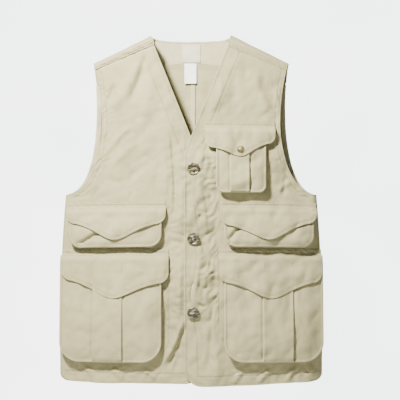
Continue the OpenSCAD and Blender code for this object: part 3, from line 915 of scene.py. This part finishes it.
def slits(side, high):
    """The left front's buttonholes, as outlines."""
    a = np.linspace(0, 2 * math.pi, 20, endpoint=False)
    across = SLIT_LENGTH / 2 * np.sign(np.cos(a)) * np.abs(np.cos(a)) ** 0.6
    return [np.stack([SLIT_X + across, z + high / 2 * np.sin(a)], 1) for z in BUTTON_ZS] if side > 0 else []


def front(side, word, lap):
    """One front with its facing, its turnings and its side seam. Returns its stitched lines."""
    body, panel = f"{word}_front", f"front_panel_{word}"
    flip = np.array([side, 1])
    neck = evened([[v_x(SEAM_IN_Z - 3), SEAM_IN_Z - 3], [-lap, v_z(-lap)]], 4)
    edge = evened([[-lap, v_z(-lap)], [-lap, HEM_Z + FRONT_CORNER]], 4)
    corner = arc([FRONT_CORNER - lap, HEM_Z + FRONT_CORNER], FRONT_CORNER, 180, 270, 10)
    pocket_x = 59.0 if side > 0 else 47.0
    lines = [line * flip for line in (
        sideways(np.concatenate([neck, edge[1:], corner[1:]]), -6.0), sideways(neck, 1 - FACING_W)[:-8],
        smooth_line(FACING_LINE[side]), sideways(FRONT_ARMHOLE, 10.0)[:-1],
        np.array([[24.0 - lap, HEM_STITCH], [262.0, HEM_STITCH], [279, HEM_STITCH + 1]]),
        np.array([[pocket_x, -462], [pocket_x, -652]]))]
    cloth = cloth_piece(f"front_cloth_{word}", panel, front_outline(lap) * flip, front_surface(side),
                        (0, -1, 0), cell=3.5, roll=1.0, groove=2.6, holes=slits(side, 1.1), creases=lines)
    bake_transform(cloth)
    facing_outline = np.concatenate([
        neck[3:], edge[1:], corner[1:7], [[28 - lap, HEM_Z + 9], [28 - lap, -250]],
        sideways(neck, -FACING_W)[4:-6][::-1]])
    facing_cloth = cloth_piece(
        f"front_facing_cloth_{word}", f"front_facing_{word}", facing_outline * flip, inside_front(side),
        (0, 1, 0), "twill_inside", cell=6.0, roll=0.3, groove=2.2, holes=slits(side, 1.3),
        thick=FACING_THICK)
    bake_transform(facing_cloth)
    arm_rows = strip_on(FRONT_ARMHOLE[2:] * flip, ARM_FACING_W * side, inside_front(side))
    arm_turning = ribbon(f"front_armhole_turning_{word}", f"front_armhole_facing_{word}", arm_rows, (0, 1, 0))
    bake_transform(arm_turning)
    hem_line = np.array([[30.0 - lap, HEM_Z + 0.4], [258.0, HEM_Z + 0.4]]) * flip
    hem = ribbon(f"front_hem_turning_{word}", f"front_hem_{word}",
                 strip_on(hem_line, -HEM_TURN * side, inside_front(side)), (0, 1, 0))
    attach(hem, body)
    side_line = evened(np.vstack([SIDE_LINE[1:], SIDE_LOW[None]]), 5) - [1.6, 0]
    turn = np.linspace(-1, 1, 9)
    rows = np.stack([side_line[:, :1] - 5.5 * turn ** 2 - 1.2, seam_y(side_line[:, 1])[:, None] + 3.4 * turn,
                     side_line[:, 1:] + 0 * turn], -1) * [side, 1, 1]
    seam = ribbon(f"side_seam_tape_{word}", f"side_seam_{word}", rows, (-side, 0, 0), thick=1.0)
    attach(seam, "back")
    return lines


FRONT_LINES = {word: front(side, word, lap) for (side, word), lap in zip(SIDES, (LEFT_LAP, RIGHT_LAP))}

inside_outline = np.concatenate([
    [[60, -183], [126, -197]], arc([108, -290], 22, 0, -90, 8), arc([78, -294], 18, -90, -180, 8)]) * [-1, 1]
inside_pocket = cloth_piece(
    "inside_pocket_cloth", "inside_pocket", inside_outline,
    lambda x, z, out: on_front(x, z, -3.35 - out, -UNDER), (0, 1, 0), "twill_inside", cell=5.0, roll=0.4,
    groove=4.0, thick=FACING_THICK)
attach(inside_pocket, "right_front")

# ---------------------------------------------------------------- pockets

# A pocket: kind, name, side, (inner x, outer x, top z, bottom z, corner radius), lean in degrees,
# pleat's edges, gap under the flap, and the flap as (inner x, outer x, inner depth, outer depth,
# corner radius, tip's x, tip's depth).
POCKETS = [
    ("chest", "chest", 1, (53, 159, -194, -338, 16), 3.0, (82.5, 123.5), 4.6, (29, 179, 46, 36, 18, 105, 68)),
    ("mid", "mid_left", 1, (70, 262, -363, -452, 26), 5.5, None, 3.2, (62, 269, 41, 34, 22, 165, 74)),
    ("mid", "mid_right", -1, (62, 260, -363, -452, 26), 5.5, None, 3.2, (53, 267, 37, 34, 22, 162, 74)),
    ("lower", "lower_left", 1, (70, 282, -464, -694, 42), 2.6, (151.5, 216.5), 3.2,
     (58, 280, 59, 60, 22, 170, 96)),
    ("lower", "lower_right", -1, (62, 281, -464, -694, 42), 2.6, (145, 209), 3.2,
     (47, 278, 61, 54, 22, 166, 96)),
]
PUFF = {"chest": 3.5, "mid": 4.5, "lower": 5.5}
PLEAT_H = 2.4
# Dents of the middle pockets' faces, as folds: start, end, height and width.
DENTS = {"mid_left": ((72, -450), (112, -404), -7.0, 4), "mid_right": ((250, -450), (188, -412), -7.5, 4)}
# The section of the bellows, from the front to the face: how far along, and how far out from the face's edge.
BELLOWS = ((0.0, 7.5), (0.06, 8.0), (0.2, 8.4), (0.36, 6.4), (0.48, 2.0), (0.56, 1.6), (0.66, 4.4),
           (0.8, 6.6), (0.92, 5.0), (1.0, 0.5))
# The outward direction of each quarter of the bellows: across, and up.
QUARTERS = ((-1, 0), (0, -1), (0, -1), (1, 0))
HEADING_ROWS = (0.8, 6.0)
MOUTH_STITCH = 24
CHEST_FLARE = 14.0


def leaning(x, z, out, side, top, lean):
    """A point of the front's curve, turned out about a pocket's top. x is the distance from the middle."""
    lean = math.radians(lean)
    y = FRONT_R - np.sqrt((FRONT_R + out + front_base(side)) ** 2 - x * x)
    dz = z - top
    y, dz = y * math.cos(lean) + dz * math.sin(lean), dz * math.cos(lean) - y * math.sin(lean)
    z = top + dz
    return np.stack([side * x, y * math.cos(FRONT_TILT) + z * math.sin(FRONT_TILT) - FRONT_Y,
                     z * math.cos(FRONT_TILT) - y * math.sin(FRONT_TILT)], -1)


def lid_outline(lid, top):
    """A flap's outline below the strip that it grows from: an ogee on each side of its point."""
    x0, x1, inner, outer, r, tip_x, tip = lid
    x = np.linspace(x0 + r, x1 - r, 60)
    t = np.abs(x - tip_x) / np.where(x > tip_x, x1 - tip_x, tip_x - x0)
    depth = tip - (tip - np.where(x > tip_x, outer, inner)) * 1.3 * t * t / (t * t + 0.3)
    edge = np.stack([x, top - depth], 1)
    root = top - 3.0
    return np.concatenate([[[x1, root], [x0, root]], arc(edge[0] + [0, r], r, 180, 262, 8), edge,
                           arc(edge[-1] + [0, r], r, 278, 360, 8)])


def bag_outline(bag, grow=0.0):
    """A pocket's face as cut, from its mouth down and back up."""
    x0, x1, top, bottom, r = bag
    x0, x1, bottom, r = x0 - grow, x1 + grow, bottom - grow, r + grow
    return np.concatenate([[[x1, top - MOUTH_DROP], [x0, top - MOUTH_DROP]],
                           arc([x0 + r, bottom + r], r, 180, 270, 10),
                           arc([x1 - r, bottom + r], r, 270, 360, 10)])


def face_out(x, z, kind, bag, seed, pleat=None, dent=None):
    """How far a pocket's face stands out from its leaning curve, pleat and all."""
    x0, x1, top, bottom, _ = bag
    u, v = (x - x0) / (x1 - x0), (z - bottom) / (top - bottom)
    puff = smooth(u / 0.16) * smooth((1 - u) / 0.16) * smooth(v / 0.16) * (1 - smooth((v - 0.2) / 0.75))
    out = 7.5 + PUFF[kind] * puff - 5.2 * smooth((z - top + 26) / 17)
    inner = smooth(u / 0.08) * smooth((1 - u) / 0.08) * smooth(v / 0.08)
    out = out + inner * (1.0 * wave(x, z, seed, 34, 110) + 1.0 * crumple(x, z, seed + 1, 40, 110))
    if dent:
        out = out + fold(x, z, *dent)
    if pleat:
        a, b = pleat
        ridge = smooth((x - a + 0.4) / 0.9) * smooth((b - x + 0.4) / 0.9)
        lip = np.exp(-((x - a - 2.4) / 2.4) ** 2) + np.exp(-((x - b + 2.4) / 2.4) ** 2)
        trench = np.exp(-((x - a + 1.6) / 1.2) ** 2) + np.exp(-((x - b - 1.6) / 1.2) ** 2)
        gape = 0.8 + 0.9 * smooth((0.6 - v) / 0.5)
        out = out + smooth(v / 0.03) * ((PLEAT_H * ridge + 0.8 * lip * ridge) * gape - 2.2 * trench)
    return out


def bellows(kind, side, bag, lean, seed, tail):
    """The folded strip round a pocket: out from the front, folded in once, and out to the face's edge."""
    top = bag[2]
    rim = evened(np.roll(bag_outline(bag), -1, 0), 3.2)
    flare = CHEST_FLARE * smooth((-206 - rim[:, 1]) / 70) if kind == "chest" else 0.0
    ripple = wave(np.arange(len(rim)) / len(rim) * 1000, np.zeros(len(rim)), seed + 3, 60, 300)
    end = leaning(rim[:, 0], rim[:, 1], 6.6 + big_drape(side * rim[:, 0], rim[:, 1]), side, top, lean)
    rows = []
    for f, spread in BELLOWS:
        spread = spread * (0.9 if kind == "chest" else 1.0)
        line = sideways(rim, -(spread + flare * (1 - f) ** 1.2 + 1.3 * ripple * math.sin(math.pi * f)))
        x, z = line[:, 0], np.minimum(line[:, 1], top - 6)
        base = leaning(x, z, 0.6 + front_drape(side * x, z), side, top, 0.0)
        base_y = round_side(x, z, base[:, 1])
        rows.append(np.stack([side * x, base_y + (end[:, 1] - base_y) * f, z], -1))
    rows = np.stack(rows, 1)
    straight = len(evened([rim[0], [bag[0], bag[3] + bag[4]]], 3.2))
    bounds = (0, straight + 6, len(rim) // 2, len(rim) - straight - 7, len(rim) - 1)
    for k, (across, up) in enumerate(QUARTERS):
        section = rows[bounds[k]:bounds[k + 1] + 1]
        strip = ribbon(f"{kind}_bellows{tail}_{k + 1}", f"{kind}_pocket_bellows{tail}", section,
                       (side * across, 0, up), "twill_khaki", 0.9)
        # The strip runs between the front and the bag; its facing direction is worked out here but not used.
        first, last = section[:, 0], section[:, -1]
        normal = np.cross(first[-1] + last[-1] - first[0] - last[0], (0, 0, 1) if up else (1, 0, 0))
        normal = normal / np.linalg.norm(normal) * (-1 if normal[1] > 0 else 1)
        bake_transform(strip)


# The pockets' rows of stitches: name, lines, the cloth that they are on, body and length of a stitch.
POCKET_ROWS = []


def pocket(kind, name, side, bag, lean, pleat, gap, lid, seed):
    """One pocket: its face, bellows, flap seam and flap. Returns the surfaces of its flap and its face."""
    word = "left" if side > 0 else "right"
    host, tail = f"{word}_front", "" if kind == "chest" else f"_{word}"
    flip = np.array([side, 1])
    x0, x1, top, bottom, _ = bag

    def place(x, z, out):
        """A point on the leaning pocket, with the drape of the front behind it."""
        x = np.abs(x)
        return leaning(x, z, out + big_drape(side * x, z), side, top, lean)

    def face_surface(x, z, out):
        return place(x, z, out + face_out(np.abs(x), z, kind, bag, seed, pleat, DENTS.get(name)))

    mouth_line = level(x0 + 1, x1 - 1, top - MOUTH_STITCH) * flip
    pleat_lines = [np.array([[x, bottom + 3.0], [x, top - 12]]) * flip for x in pleat or ()]
    face = cloth_piece(f"{kind}_bag_face{tail}", f"{kind}_pocket_face{tail}", bag_outline(bag) * flip,
                       face_surface, (0, -1, 0), cell=3.6, roll=1.0, groove=5.0, creases=[mouth_line],
                       steps=pleat_lines)
    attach(face, f"{name}_bag")
    bellows(kind, side, bag, lean, seed, tail)

    def lid_surface(x, z, out):
        """The flap, rising from its seam to clear the face, and hanging past it on both sides."""
        across, down = np.abs(x), top - z
        rise = 1.9 + (MOUTH_LIFT + gap - 0.4) * smooth((down + 1) / 17)
        beyond = np.clip(smooth((x0 - 2 - across) / 12) + smooth((across - x1 - 2) / 12), 0, 1)
        clear = face_out(across, z, kind, bag, seed) + 1.9 + 2.4 * smooth((down - 20) / 20)
        lift = rise + (np.maximum(rise, clear) - rise) * smooth((down - 10) / 14) * (1 - beyond)
        lift = lift - 2.2 * beyond * smooth((down - 8) / 20)
        soft = 1.1 * wave(across, z, seed + 5, 34, 110) + 1.3 * crumple(across, z, seed + 6, 30, 90)
        return place(x, z, out + lift + smooth(down / 12) * soft)

    def heading_surface(x, z, out):
        tucked = -1.1 * smooth((top - 2.4 - z) / 1.6)
        return np.where((z < top)[:, None], lid_surface(x, np.minimum(z, top), out + tucked),
                        place(x, z, out + 1.9 + front_drape(x, z) - big_drape(x, z)))

    left, right = lid[0] + 1.2, lid[1] - 1.2
    heading_outline = np.array([[left, top - 5.4], [right, top - 5.4], [right, top + 7.4], [left, top + 7.4]])
    heading_lines = [level(lid[0] + 2.5, lid[1] - 2.5, top + d) * flip for d in HEADING_ROWS]
    heading = cloth_piece(f"{kind}_flap_heading{tail}", f"{kind}_flap_seam{tail}", heading_outline * flip,
                          heading_surface, (0, -1, 0), cell=3.0, roll=0.25, groove=1.8, thick=1.2,
                          creases=heading_lines)
    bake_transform(heading)
    outline = lid_outline(lid, top)
    edge_line = sideways(outline[1:], -6.5)[4:-1] * flip
    flap = cloth_piece(f"{kind}_lid{tail}", f"{kind}_flap{tail}", outline * flip, lid_surface, (0, -1, 0),
                       cell=3.6, roll=0.55, groove=2.0, thick=1.7, creases=[edge_line])
    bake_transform(flap)
    bag_rows = [level(x0 + 2, x1 - 2, top - MOUTH_STITCH) * flip,
                evened(bag_outline(bag, -2.4)[1:], 3) * flip]
    POCKET_ROWS.extend([
        (f"{kind}_lid_stitches{tail}", [edge_line], f"{kind}_lid{tail}", f"{name}_lid", 3.0),
        (f"{kind}_heading_stitches{tail}", heading_lines, f"{kind}_flap_heading{tail}", host, 2.8),
        (f"{kind}_bag_stitches{tail}", bag_rows, f"{kind}_bag_face{tail}", f"{name}_bag", 3.0)])
    return lid_surface, face_surface


SURFACES = [pocket(*values, seed=40 + 7 * k) for k, values in enumerate(POCKETS)]

# ---------------------------------------------------------------- fastenings

def ring_of(r, n, h=0.0):
    """n points round the axis, at a radius and a height."""
    a = np.arange(n) * 2 * math.pi / n
    return np.stack([r * np.cos(a), r * np.sin(a), 0 * a + h], 1)


def hoops(rings):
    """The faces between rings, which are lists of point numbers."""
    return [(one[i], one[(i + 1) % len(one)], two[(i + 1) % len(one)], two[i])
            for one, two in zip(rings, rings[1:]) for i in range(len(one))]


def lathe(profile, n=48):
    """A turned solid from (radius, height) pairs, top to underside, that start and end on the axis."""
    middle = profile[1:-1]
    points = [[(0.0, 0.0, profile[0][1])], *(ring_of(r, n, h) for r, h in middle),
              [(0.0, 0.0, profile[-1][1])]]
    rings = [list(range(1 + k * n, 1 + (k + 1) * n)) for k in range(len(middle))]
    last = 1 + len(middle) * n
    faces = [(0, rings[0][(i + 1) % n], rings[0][i]) for i in range(n)]
    faces += [(last, rings[-1][i], rings[-1][(i + 1) % n]) for i in range(n)]
    return np.concatenate(points), faces + hoops(rings)


def set_out(points, x, z, out, surface, tilt=0.0):
    """Moves points from a piece's own space, Z up, to stand on a surface at a place."""
    centre = surface(np.array([x]), np.array([z]), out)[0]
    right = surface(np.array([x + 1.0]), np.array([z]), out)[0] - centre
    up = surface(np.array([x]), np.array([z + 1.0]), out)[0] - centre
    right /= np.linalg.norm(right)
    normal = np.cross(right, up)
    normal *= (-1 if normal[1] > 0 else 1) / np.linalg.norm(normal)
    up = np.cross(normal, right)
    turn = math.radians(tilt)
    right, up = right * math.cos(turn) + up * math.sin(turn), up * math.cos(turn) - right * math.sin(turn)
    return centre + points @ np.array([right, up, normal])


# The button's front from its edge to the flat middle, and its back, as (radius, height) pairs.
BUTTON_FRONT = [(13.0, 1.7), (12.75, 2.7), (12.1, 3.3), (11.3, 3.5), (10.5, 3.25), (9.9, 2.7), (9.2, 2.35),
                (7.4, 2.15)]
BUTTON_BACK = [(12.7, 0.9), (11.6, 0.3), (9.0, 0.0)]
HOLE_AT = 2.4
HOLE_R = 1.0
DISH = 0.35
BUTTON_OUT = 1.2
BUTTON_TURNS = (12, -20, 31)
BUTTON_THREAD_R = 0.34


def button(n=64, inner_n=32, hole_n=16):
    """A four-hole button with a raised rim, a dished middle and a rounded back."""
    flat_r, flat_z = BUTTON_FRONT[-1]
    centres = HOLE_AT * np.array([[1, 1], [-1, 1], [-1, -1], [1, -1]]) / math.sqrt(2)
    starts = [n + 2 * inner_n + hole_n * k for k in range(4)]
    holes = [list(range(start, start + hole_n)) for start in starts]

    def disc(r):
        """A flat face with the four holes in it."""
        flat = np.concatenate([ring_of(r, n), ring_of(5.2, inner_n), ring_of(3.9, inner_n),
                               *(ring_of(HOLE_R, hole_n) + [*c, 0] for c in centres)])[:, :2]
        edges = [(loop[i - 1], loop[i]) for loop in (list(range(n)), *holes) for i in range(len(loop))]
        got, _, tris, *_ = delaunay_2d_cdt([Vector(p) for p in flat], edges, [], 1, 1e-5)
        got = np.array([tuple(p) for p in got])
        tris = np.array([t for t in tris if len(t) == 3], int)
        for c in centres:
            tris = tris[np.linalg.norm(got[tris].mean(1) - c, axis=1) > HOLE_R * 0.98]
        return flat, tris

    front, front_tris = disc(flat_r)
    back, back_tris = disc(BUTTON_BACK[-1][0])
    dish = flat_z - DISH * (1 - np.clip(np.linalg.norm(front, axis=1) / flat_r, 0, 1) ** 2)
    count = len(front)
    points = [np.column_stack([front, dish]), np.column_stack([back, np.zeros(count)])]
    faces = [tuple(t) for t in front_tris] + [tuple(count + v for v in t[::-1]) for t in back_tris]
    rings = [list(range(n))]
    for k, (r, h) in enumerate(BUTTON_FRONT[-2::-1] + BUTTON_BACK[:-1]):
        points.append(ring_of(r, n, h))
        rings.append(list(range(2 * count + k * n, 2 * count + (k + 1) * n)))
    rings.append(list(range(count, count + n)))
    faces += hoops(rings[::-1])
    for hole in holes:
        faces += hoops([hole, [count + v for v in hole]])
    return np.concatenate(points), faces


def tube(path, r, n=8):
    """A round thread along a path of points, tapered shut at its ends."""
    path = np.asarray(path, float)
    u = np.gradient(path, axis=0)
    u /= np.linalg.norm(u, axis=1)[:, None]
    side = np.cross(u, [0.31, 0.83, 0.46])
    side /= np.linalg.norm(side, axis=1)[:, None]
    a = (np.arange(n) * 2 * math.pi / n)[None, :, None]
    radii = np.full(len(path), r)
    radii[[0, -1]] = r * 0.4
    round_it = np.cos(a) * side[:, None] + np.sin(a) * np.cross(u, side)[:, None]
    points = path[:, None] + radii[:, None, None] * round_it
    rings = [list(range(k * n, (k + 1) * n)) for k in range(len(path))]
    return points.reshape(-1, 3), hoops(rings) + [tuple(rings[0][::-1]), tuple(rings[-1])]


def joined(parts):
    """Several (points, faces) as one."""
    points, faces, total = [], [], 0
    for p, f in parts:
        points.append(p)
        faces += [tuple(v + total for v in face) for face in f]
        total += len(p)
    return np.concatenate(points), faces


def button_threads():
    """The threads of one button: two through each pair of holes, crossed in front, and the shank behind."""
    threads = []
    t = np.linspace(0, 1, 9)[:, None]
    for over, up in ((0, 1), (1, -1)):
        run = math.sqrt(2) * HOLE_AT * np.array([1, up])
        for shift in (-0.36, 0.36):
            bow = (t - 0.5) * run + np.array([-run[1], run[0]]) / np.linalg.norm(run) * shift
            high = 2.25 + (0.35 + 0.5 * over) * np.sin(math.pi * t)
            path = np.concatenate([[[*bow[0], -0.4]], np.hstack([bow, high]), [[*bow[-1], -0.4]]])
            threads.append(tube(path, BUTTON_THREAD_R))
    coil = np.linspace(0, 1, 60)
    length = UNDER + BUTTON_OUT
    turn, along = coil * 44, coil * (length - 0.2) - length
    shank = tube(np.stack([1.1 * np.cos(turn), 1.1 * np.sin(turn), along], 1), BUTTON_THREAD_R)
    return threads, shank


def on_button(part, z, tilt):
    """A part of a button, set out on the front at the button's place."""
    points, faces = part
    return set_out(points, BUTTON_X, z, BUTTON_OUT, front_surface(1), tilt), faces


button_parts, thread_parts = [], []
for z, tilt in zip(BUTTON_ZS, BUTTON_TURNS):
    button_parts.append(on_button(button(), z, tilt))
    threads, shank = button_threads()
    thread_parts += [*(on_button(thread, z, tilt) for thread in threads), on_button(shank, z, 0)]
buttons = make("horn_buttons", *joined(button_parts), "horn")
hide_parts("front_buttons")
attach(buttons, "right_front")
cords = make("button_cross_threads", *joined(thread_parts), "button_thread")
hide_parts("button_threads")
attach(cords, "right_front")

SNAP_X = 104.0
SNAP_Z = -247.0
# The snap's pieces: name, CAD node, body and turned profile.
SNAP = (
    ("snap_cap_dome", "snap_cap", "chest_lid",
     [(0, 2.3), (1.6, 2.28), (3.4, 2.1), (5.0, 1.72), (6.2, 1.2), (6.6, 0.9), (7.0, 0.92), (7.5, 0.95),
      (7.9, 0.7), (7.95, 0.3), (7.6, -0.05), (0, -0.05)]),
    ("snap_socket_ring", "snap_socket", "chest_lid",
     [(0, -1.8), (6.0, -1.8), (6.0, -2.2), (5.6, -2.9), (4.6, -3.4), (3.2, -3.5), (2.3, -3.2),
      (2.2, -2.0), (0, -2.0)]),
    ("snap_stud_post", "snap_stud", "chest_bag",
     [(0, 2.4), (1.2, 2.35), (1.9, 1.9), (1.6, 1.2), (1.7, 0.7), (3.2, 0.62), (4.6, 0.5), (5.0, 0.15),
      (5.0, -0.1), (0, -0.1)]),
    ("snap_stud_washer", "snap_stud_back", "chest_bag",
     [(0, -1.4), (4.2, -1.4), (4.6, -1.75), (4.0, -2.1), (2.2, -2.2), (0, -2.2)]),
)
chest_lid_surface, chest_face_surface = SURFACES[0]
for name, node, body, profile in SNAP:
    points, faces = lathe(profile)
    surface = chest_lid_surface if body == "chest_lid" else chest_face_surface
    piece = make(name, set_out(points, SNAP_X, SNAP_Z, 0.0, surface), faces, "antique_brass")
    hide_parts(node)
    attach(piece, body)

# ---------------------------------------------------------------- labels

def label_surface(out, top, curl):
    """The surface of a label on the yoke's lining, whose free end stands away by curl."""
    def surface(x, z, extra):
        points = yoke_cloth(x, yoke_s(x, z), LINING_OUT - out - extra)
        points[:, 2] = z
        hang = np.clip((top - z) / 44, 0, 1)
        points[:, 1] -= curl * hang ** 1.5 * (1 + 0.25 * np.sin(x / 5.0))
        return points
    return surface


def box(left, right, top, bottom):
    return np.array([[left, top], [right, top], [right, bottom], [left, bottom]], float)


neck_label = cloth_piece("neck_label_tape", "size_label", box(-20, 20, -13, -53),
                         label_surface(0.8, -13, 0.0), (0, -1, 0), "label_woven", cell=2.5, roll=0.2,
                         groove=2.0, thick=0.6)
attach(neck_label, "back")
hanging = cloth_piece("care_label_tape", "care_label", box(-15, 11.5, -55, -99), label_surface(1.0, -55, 3.0),
                      (0, -1, 0), "label_satin", cell=2.5, thick=0.4)
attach(hanging, "label")

# ---------------------------------------------------------------- seams

BEHIND = dict(towards=-1, start=250.0)
for side, word in SIDES:
    rows = stitches(f"front_stitches_{word}", FRONT_LINES[word], [f"front_cloth_{word}"], pitch=3.2)
    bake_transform(rows)
    rows = stitches(f"back_stitches_{word}", back_lines(side), [f"back_cloth_{word}"], pitch=3.2, **BEHIND)
    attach(rows, "back")

for word, behind, view in (("back", True, BEHIND), ("front", False, {})):
    seams = [(line + [0, up]) * [side, 1]
             for side in (1, -1) for line, up, at_back in YOKE_ROWS if at_back == behind]
    rows = stitches(f"yoke_stitches_{word}", seams, ["yoke_cloth"], **view)
    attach(rows, "back")

inside_lines = [(evened(YOKE_LINE, 3)[:50] + [0, 7]) * [side, 1] for side in (1, -1)]
inside_lines += [level(-18.6, 18.6, z) for z in (-14.4, -51.6)]
inside_lines += [np.array([[x, -14.4], [x, -51.6]]) for x in (-18.6, 18.6)]
inside_lines += [evened(bezier([[-60, -9], [-30, -10.5], [30, -10.5], [60, -9]], 30), 3)]
inside_rows = stitches("neck_stitches_inside", inside_lines, ["yoke_inside_cloth", "neck_label_tape"],
                       start=-20.0, pitch=2.8)
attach(inside_rows, "back")
middle_lines = [np.array([[x, -104], [x, HEM_Z + 24]]) for x in MIDDLE_ROWS]
middle_rows = stitches("middle_stitches_inside", middle_lines, ["back_middle_seam"], start=-8.0)
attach(middle_rows, "back")
outside = stitches("inside_pocket_stitches", [sideways(inside_outline, 3.6)[1:]], ["front_cloth_right"],
                   pitch=3.2)
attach(outside, "right_front")

for name, lines, cloth, body, pitch in POCKET_ROWS:
    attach(stitches(name, lines, [cloth], pitch=pitch), body)

# Buttonholes: two close rows of upright stitches round each slit.
hole_rows = [np.array([[x, z + side * 0.5], [x, z + side * 2.5]])
             for z in BUTTON_ZS for x in np.arange(-3.0, 24.4, 0.75) for side in (-1, 1)]
buttonholes = stitches("buttonhole_stitches", hole_rows, ["front_cloth_left"], pitch=2.0, lift=0.12,
                       radius=0.36)
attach(buttonholes, "left_front")

# ---------------------------------------------------------------- camera, light and floor

camera_data = bpy.data.cameras.new("camera")
camera = bpy.data.objects.new("camera", camera_data)
bpy.context.scene.collection.objects.link(camera)
bpy.context.scene.camera = camera
camera_data.sensor_width = 36
camera_data.lens = 85.8
camera_data.clip_end = 20
camera.location = (0.019, -2.055, -0.353)
camera.rotation_euler = (math.radians(90), 0, 0)

world = bpy.data.worlds.new("studio")
bpy.context.scene.world = world
world.use_nodes = True
world.node_tree.nodes["Background"].inputs["Color"].default_value = (1.0, 1.0, 0.97, 1)
world.node_tree.nodes["Background"].inputs["Strength"].default_value = 0.27

# One small warm lamp, high on the wearer's right, so that every fold throws a shadow.
KEY_AT = Vector((-0.5, -0.95, 0.6))
KEY_AIM = Vector((0, 0, -0.3))
key_data = bpy.data.lights.new("key", "AREA")
key_data.shape = "RECTANGLE"
key_data.size, key_data.size_y = 0.17, 0.17
key_data.energy = 116
key_data.color = (1.0, 0.98, 0.94)
key = bpy.data.objects.new("key", key_data)
bpy.context.scene.collection.objects.link(key)
key.location = KEY_AT
key.rotation_euler = (KEY_AIM - KEY_AT).to_track_quat("-Z", "Y").to_euler()


def board(name, corners, faces, material):
    """A flat piece of the studio."""
    mesh = bpy.data.meshes.new(name)
    mesh.from_pydata(corners, [], faces)
    mesh.materials.append(material)
    obj = bpy.data.objects.new(name, mesh)
    bpy.context.scene.collection.objects.link(obj)
    return obj


FLOOR_Z = -0.93
ground = Nodes("studio_floor")
ground_tone = ground.ramp(ground.noise(2.0), (0.3, (0.62, 0.64, 0.62)), (0.7, (0.66, 0.68, 0.66)))
floor_corners = [(x, y, FLOOR_Z) for x, y in ((-1.6, -1.4), (1.6, -1.4), (1.6, 0.5), (-1.6, 0.5))]
floor = board("floor", floor_corners, [(0, 1, 2, 3)], ground.finish(ground_tone, 0.9))

# A lit paper backdrop, far enough behind that every other view looks past it.
BACKDROP_Y = 4
paper = Nodes("backdrop_paper")
pale = paper.ramp(paper.noise(0.9, 2.0, 0.5), (0.35, (0.82, 0.90, 0.87)), (0.65, (0.97, 1.0, 0.98)))
paper.set(paper.shader.inputs["Emission Color"], pale)
screen = board("backdrop", [(x, BACKDROP_Y, z) for z in (-3.0, -0.95, 2.5) for x in (-3, 3)],
               [(2, 3, 5, 4), (0, 1, 3, 2)], paper.finish(pale, 0.95, Emission_Strength=4.6))
